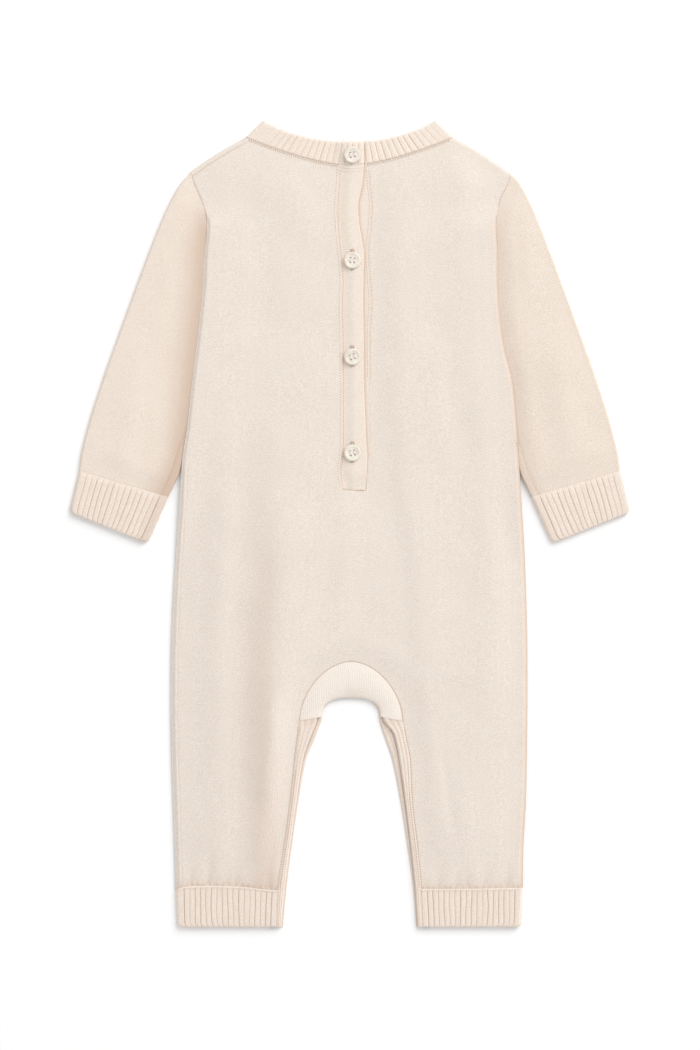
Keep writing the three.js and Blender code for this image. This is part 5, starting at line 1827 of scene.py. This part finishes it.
class Needle:
    """Lays threads on the cloth that is already there."""

    def __init__(self, pieces: Sequence[Piece]) -> None:
        """Keeps the cloth's surfaces for finding heights."""
        graph = bpy.context.evaluated_depsgraph_get()
        self.trees = [BVHTree.FromObject(piece, graph) for piece in pieces]

    def height(self, x: float, y: float) -> float:
        """Height of the cloth over a place, in millimetres."""
        best = 0.0
        for tree in self.trees:
            hit = tree.ray_cast(Vector((x * MM, y * MM, 0.05)), Vector((0, 0, -1)))
            if hit[0] is not None:
                best = max(best, hit[0].z / MM)
        return best

    def over(self, x: float, y: float, beside: tuple[float, float]) -> float:
        """Height of the cloth over a place or just beside it, whichever is higher."""
        return max(self.height(x + k * beside[0], y + k * beside[1]) for k in (-0.6, 0.0, 0.6))


@dataclass(frozen=True)
class Strands:
    """Short round strands of thread, from one point to another, bowed and thinner at their ends."""

    radius: float = 0.24
    bow: float = 0.18
    steps: tuple[float, ...] = (-1, -0.75, 0, 0.75, 1)
    thin: tuple[float, ...] = (0.35, 0.9, 1, 0.9, 0.35)
    sides: int = 6

    def mesh(self, name: str, starts: Array, ends: Array) -> Mesh:
        """All the strands as one mesh.

        Args:
            name: The mesh's name.
            starts: First ends, in millimetres.
            ends: Last ends.

        Returns:
            The mesh.
        """
        starts, ends = starts[:, None, None, :], ends[:, None, None, :]
        way = (ends - starts) / np.linalg.norm(ends - starts, axis=-1, keepdims=True)
        up = np.where(np.abs(way[..., 2:]) > 0.9, np.array([1.0, 0, 0]), np.array([0, 0, 1.0]))
        across = np.cross(up, way)
        across = across / np.linalg.norm(across, axis=-1, keepdims=True)
        up = np.cross(way, across)
        t = np.array(self.steps)[None, :, None, None]
        thin = self.radius * np.array(self.thin)[None, :, None, None]
        turn = (np.arange(self.sides) * 2 * np.pi / self.sides)[None, None, :, None]
        line = (starts + ends) / 2 + (ends - starts) / 2 * t + up * self.bow * (1 - t * t)
        points = line + thin * (across * np.cos(turn) + up * np.sin(turn))
        count, rings = len(starts), len(self.steps)
        index = np.arange(count * rings * self.sides).reshape(count, rings, self.sides)
        turned = np.roll(index, -1, axis=2)
        corners = [index[:, :-1], turned[:, :-1], turned[:, 1:], index[:, 1:]]
        quads = np.stack(corners, axis=-1).reshape(-1, 4)
        caps = index[:, 0, ::-1].tolist() + index[:, -1].tolist()
        mesh = bpy.data.meshes.new(name)
        mesh.from_pydata((points.reshape(-1, 3) * MM).tolist(), [], quads.tolist() + caps)
        mesh.update()
        mesh.shade_smooth()
        return mesh


@dataclass(frozen=True)
class Row:
    """A row of stitches along a line of places."""

    line: Array
    pitch: float = 1.7
    length: float = 0.95
    slant: float = 0.0
    sink: float = 0.14
    pierced: bool = True


def row(x: Array, y: Array, **how: Any) -> Row:
    """A row of stitches through places given by their coordinates."""
    return Row(np.stack([x, y], axis=1), **how)


@dataclass
class Sewing:
    """All the visible rows of stitches and the buttonholes."""

    pattern: Pattern
    hole_width: float = 3.0
    hole_length: float = 14.5
    hole_pitch: float = 0.55
    hole_half: float = 0.32

    def strands(self, needle: Needle, rows: Iterator[Row], holes: bool) -> tuple[Array, Array]:
        """Ends of the strands of some rows, on the cloth.

        Args:
            needle: What finds the cloth.
            rows: The rows.
            holes: Whether to give the dark strands of painted shade in the needle holes between the stitches,
                instead of the stitches.

        Returns:
            The first and the last ends.
        """
        starts, ends = [], []
        for row in rows:
            if holes and not row.pierced:
                continue
            length = run(row.line)
            places = np.arange(row.pitch * (1.0 if holes else 0.5), length[-1], row.pitch)
            x, y = (np.interp(places, length, row.line[:, k]) for k in (0, 1))
            ahead = [np.interp(places + 0.5, length, row.line[:, k]) for k in (0, 1)]
            behind = [np.interp(places - 0.5, length, row.line[:, k]) for k in (0, 1)]
            angle = np.arctan2(ahead[1] - behind[1], ahead[0] - behind[0]) + row.slant
            half = self.hole_half if holes else 0.5 * row.length
            for px, py, turn in zip(x, y, angle):
                way = (math.cos(turn), math.sin(turn))
                for sign, found in ((-1, starts), (1, ends)):
                    ex, ey = px + sign * half * way[0], py + sign * half * way[1]
                    found.append((ex, ey, needle.over(ex, ey, (-way[1], way[0])) - row.sink))
        return np.array(starts), np.array(ends)

    def body_rows(self) -> Iterator[Row]:
        """Rows on the body: neck and armholes."""
        p = self.pattern
        for side in Side:
            across = side.value * np.linspace(0.15 if side is Side.RIGHT else 0.1, 0.97, 40)
            x, y = p.back_neck.place(across, 1.0)
            yield row(x, y - 0.1, pitch=1.45)
            yield row(x, y - 1.2, pitch=1.6, sink=0.02)
            y = np.linspace(236.6, 217, 20)
            yield row(side.value * p.edge(side, y), y, pitch=1.6)

    def stand_rows(self) -> Iterator[Row]:
        """Zigzag rows beside the button stand, and the rows that close its ends."""
        for side, low in ((Side.LEFT, 24.5), (Side.RIGHT, 100.0)):
            y = np.linspace(242.5, low, 60)
            for shift, slant, down in ((-1.1, 0.6, 0.0), (1.1, -0.6, 0.9)):
                x = self.pattern.slot.at(side.word, y) + shift
                yield row(x, y - down, pitch=1.8, length=0.9, slant=slant)
        bottom = np.array([[-4.6, 23.8], [0.0, 23.1], [5.0, 23.0], [10.2, 23.2]])
        yield Row(bottom, pitch=1.5, length=0.9)
        top = np.array([[-8.0, 240.9], [-3.0, 239.9], [3.0, 239.6], [8.6, 240.4]])
        for line, slant in ((top, 0.5), (top + np.array([0.6, 2.0]), -0.5)):
            yield Row(line, pitch=1.9, length=1.3, slant=slant, sink=0.0, pierced=False)

    def limb_rows(self) -> Iterator[Row]:
        """Rows on the sleeves and the inner legs."""
        p = self.pattern
        for side in Side:
            inner = Line(SLEEVE_INNER).at(np.linspace(0.66, 0.985, 24)) + np.array([3.4, 1.5])
            yield Row(inner * np.array([side.value, 1]), pitch=2.2, length=1.2, sink=0.3)
            y = np.linspace(-137, p.hem_y, 50)
            seam = p.inseam(side, y, "seam")
            yield row(side.value * (seam + 0.1), y, length=1.0)
            yield row(side.value * (seam - 1.7), y, length=0.9, sink=0.2)

    def buttonholes(self, needle: Needle, centres: Sequence[Place]) -> tuple[Array, Array]:
        """Satin strands round each upright buttonhole, with a bar at both ends."""
        starts, ends = [], []
        half = self.hole_width / 2
        for centre in centres:
            top = centre.y + self.hole_length / 2
            for y in np.arange(centre.y - self.hole_length / 2, top, self.hole_pitch):
                at_end = min(y - centre.y + self.hole_length / 2, top - y) < 1.3
                for a, b in ([(-half, half)] if at_end else [(-half, -0.3), (0.3, half)]):
                    z = max(needle.height(centre.x + a, y), needle.height(centre.x + b, y)) - 0.05
                    starts.append((centre.x + a, y, z))
                    ends.append((centre.x + b, y + 0.12, z))
        return np.array(starts), np.array(ends)

    def build(self, finishes: Finishes, cloth: Sequence[Piece], centres: Sequence[Place]) -> None:
        """Makes the stitches and the buttonholes."""
        needle = Needle(cloth)
        # The needle holes are dark strands, painted shade in the holes between the stitches
        thread, holes = finishes.thread.material(), finishes.needle_hole_shade.material()
        stitch, hole = Strands(radius=0.22, bow=0.12), Strands(radius=0.3, bow=0.02)
        groups = {"body": self.body_rows, "stand": self.stand_rows, "limbs": self.limb_rows}
        for group, rows in groups.items():
            for what, form, finish in (("stitches", stitch, thread), ("needle_hole_shade", hole, holes)):
                name = f"{what}_{group}"
                starts, ends = self.strands(needle, rows(), form is hole)
                add_piece(name, form.mesh(name, starts, ends), finish)
        starts, ends = self.buttonholes(needle, centres)
        fine = Strands(radius=0.26, bow=0.2)
        add_piece("buttonholes", fine.mesh("buttonholes", starts, ends), finishes.worked.material())


@dataclass
class Button:
    """A dished shell button with four holes, sewn on with two bars of thread."""

    node: str
    turn: float
    radius: float = 5.6
    thick: float = 1.5
    dish: float = 0.34
    seat: float = -0.55
    hole_radius: float = 0.62
    hole_spread: float = 1.4
    segments: int = 72

    def profile(self) -> list[tuple[float, float]]:
        """Radius and height down the button's section, from the middle of its face."""
        face, r, rim = self.thick - self.dish, self.radius, self.dish
        return [(0, face), (1.6, face), (3.0, face + 0.02), (3.6, face + 0.2 * rim),
                (4.0, face + 0.55 * rim), (4.35, face + 0.85 * rim), (4.7, face + rim),
                (5.0, face + 0.96 * rim), (5.3, face + 0.75 * rim), (r - 0.1, face + 0.4 * rim),
                (r, face), (r - 0.05, face - 0.5), (5.1, 0.5), (4.4, 0.18), (3.4, 0), (0, 0)]

    def disc(self) -> Mesh:
        """The turned disc without its holes."""
        profile = np.array(self.profile(), float)
        turns = np.linspace(0, 2 * np.pi, self.segments + 1)
        radius, height = profile[:, :1], profile[:, 1:]
        points = points_of(radius * np.cos(turns), radius * np.sin(turns), height)
        maker = MeshMaker()
        maker.grid(points, points[..., :2] * MM)
        first, faces, coords = maker.weld()
        return make_mesh(self.node, np.concatenate(maker.points)[first], faces, coords, 40)

    def drilled(self) -> Mesh:
        """The disc with its four holes cut."""
        body = put("blank", self.disc())
        cutters = []
        for sx, sy in ((-1, -1), (1, -1), (1, 1), (-1, 1)):
            where = Vector((sx * self.hole_spread, sy * self.hole_spread, self.thick / 2)) * MM
            bpy.ops.mesh.primitive_cylinder_add(vertices=20, radius=self.hole_radius * MM,
                                                depth=4 * self.thick * MM, location=where)
            cutters.append(bpy.context.object)
            cut = body.modifiers.new("hole", "BOOLEAN")
            cut.operation, cut.solver, cut.object = "DIFFERENCE", "EXACT", cutters[-1]
        graph = bpy.context.evaluated_depsgraph_get()
        mesh = bpy.data.meshes.new_from_object(body.evaluated_get(graph))
        for used in (*cutters, body):
            bpy.data.objects.remove(used)
        mesh.shade_smooth()
        mesh.set_sharp_from_angle(angle=math.radians(38))
        return mesh

    def build(self, shell: Material, thread: Material) -> None:
        """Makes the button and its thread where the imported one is."""
        low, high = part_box(self.node)
        x, y, z = (low.x + high.x) / 2 / MM, (low.y + high.y) / 2 / MM, low.z / MM + self.seat
        mesh = self.drilled()
        mesh.transform(Matrix.Translation(Vector((x, y, z)) * MM) @ Matrix.Rotation(self.turn, 4, "Z"))
        mesh.materials.clear()
        add_piece(f"{self.node}_shell", mesh, shell, [self.node])
        face = self.thick - self.dish
        starts, ends = [], []
        cos, sin = math.cos(self.turn), math.sin(self.turn)

        def strand(a: tuple[float, float, float], b: tuple[float, float, float]) -> None:
            """Adds a strand between two points of the button's own frame."""
            for point, found in ((a, starts), (b, ends)):
                px, py, pz = point
                found.append((x + px * cos - py * sin, y + px * sin + py * cos, z + pz))

        spread = self.hole_spread
        for sx in (-1, 1):
            for shift in (-0.24, 0.0, 0.24):
                px = sx * spread + shift
                strand((px, -spread, face - 0.1), (px, spread, face - 0.1))
            for sy in (-1, 1):
                strand((sx * spread, sy * spread, face), (sx * spread / 2, sy * spread / 2, -1.2))
        for k in range(8):
            a = k * math.pi / 4
            b = a + 0.5
            strand((math.cos(a), math.sin(a), 0.4), (math.cos(b), math.sin(b), -1.9))
        mesh = Strands(radius=0.27, bow=0.3).mesh(f"{self.node}_thread", np.array(starts), np.array(ends))
        add_piece(f"{self.node}_thread", mesh, thread)


@dataclass
class Studio:
    """A pale floor, soft light from the upper right and a camera straight above."""

    centre: Place = Place(0.2, -0.7)
    view_height: float = 714.0
    lens: float = 200.0
    sensor: float = 36.0
    look_at: float = 3.0
    sky: float = 0.725
    key_power: float = 166.0
    key_size: float = 3.6
    key_distance: float = 5.0
    key_way: tuple[float, float] = (0.62, 0.78)
    key_elevation: float = 37.0

    def floor(self) -> None:
        """The floor under the garment."""
        mesh = bpy.data.meshes.new("floor")
        far, low = 4.0, -0.05 * MM
        corners = [(-far, -far, low), (far, -far, low), (far, far, low), (-far, far, low)]
        mesh.from_pydata(corners, [], [(0, 1, 2, 3)])
        graph = Graph("floor_paper")
        speckle = graph.noise(60.0, 1.0)
        colour = graph.mix(speckle, linear(252, 252, 252), linear(254, 254, 254))
        paper = {"Base Color": colour, "Roughness": 1.0, "Specular IOR Level": 0.0}
        mesh.materials.append(graph.surface(paper))
        put("floor", mesh)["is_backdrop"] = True

    def lights(self) -> None:
        """An even sky and one large soft lamp."""
        world = bpy.data.worlds.new("studio")
        world.use_nodes = True
        background = world.node_tree.nodes["Background"]
        background.inputs["Color"].default_value = (1.0, 1.0, 1.0, 1.0)
        background.inputs["Strength"].default_value = self.sky
        bpy.context.scene.world = world
        lamp = bpy.data.lights.new("key", "AREA")
        lamp.energy, lamp.size = self.key_power, self.key_size
        key = put("key", lamp)
        up = math.radians(self.key_elevation)
        level = math.cos(up)
        way = Vector((self.key_way[0] * level, self.key_way[1] * level, math.sin(up))).normalized()
        key.location = way * self.key_distance
        key.rotation_mode = "QUATERNION"
        key.rotation_quaternion = way.to_track_quat("Z", "Y")

    def camera(self) -> None:
        """The camera over the middle of the picture."""
        data = bpy.data.cameras.new("camera")
        data.lens, data.sensor_width = self.lens, self.sensor
        camera = put("camera", data)
        distance = self.view_height / self.sensor * self.lens
        camera.location = (self.centre.x * MM, self.centre.y * MM, (self.look_at + distance) * MM)
        bpy.context.scene.camera = camera
        bpy.context.scene.view_settings.view_transform = "Standard"

    def build(self) -> None:
        """Sets the stage."""
        self.floor()
        self.lights()
        self.camera()


def main() -> None:
    """Builds the garment piece by piece."""
    logging.basicConfig(level=logging.INFO, format="%(name)s %(message)s")
    Studio().build()
    pattern, finishes = Pattern(), Finishes()
    cloth = [Panel(pattern, False, row_step=3.4, interior=34).build(finishes)]
    for side in Side:
        cloth.append(Sleeve(pattern, side).build(finishes))
        cloth.append(SleeveCuff(pattern, side).build(finishes))
        cloth.append(LegCuff(pattern, side).build(finishes))
    cloth.append(Panel(pattern, True, row_step=2.2, interior=50).build(finishes))
    bands = InseamBands(pattern)
    cloth.append(bands.front(finishes))
    cloth.extend(bands.back(side, finishes) for side in Side)
    cloth.append(Gusset(pattern).build(finishes))
    cloth.append(Neckband(pattern).build(finishes))
    cloth.extend(ButtonStand(pattern).build(finishes))
    centres = []
    shell, thread = finishes.shell.material(), finishes.thread.material()
    for number, turn in enumerate((0.15, -0.1, 0.3, 0.2), start=1):
        low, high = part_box(f"button_{number}")
        centres.append(Place((low.x + high.x) / 2 / MM, (low.y + high.y) / 2 / MM + 0.6))
        Button(f"button_{number}", turn).build(shell, thread)
    Sewing(pattern).build(finishes, cloth, centres[1:])


if __name__ == "__main__":
    main()
    boxes = {"cad": CAD_BOX, "visual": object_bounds()}
    {name: [list(corner) for corner in box] for name, box in boxes.items()}
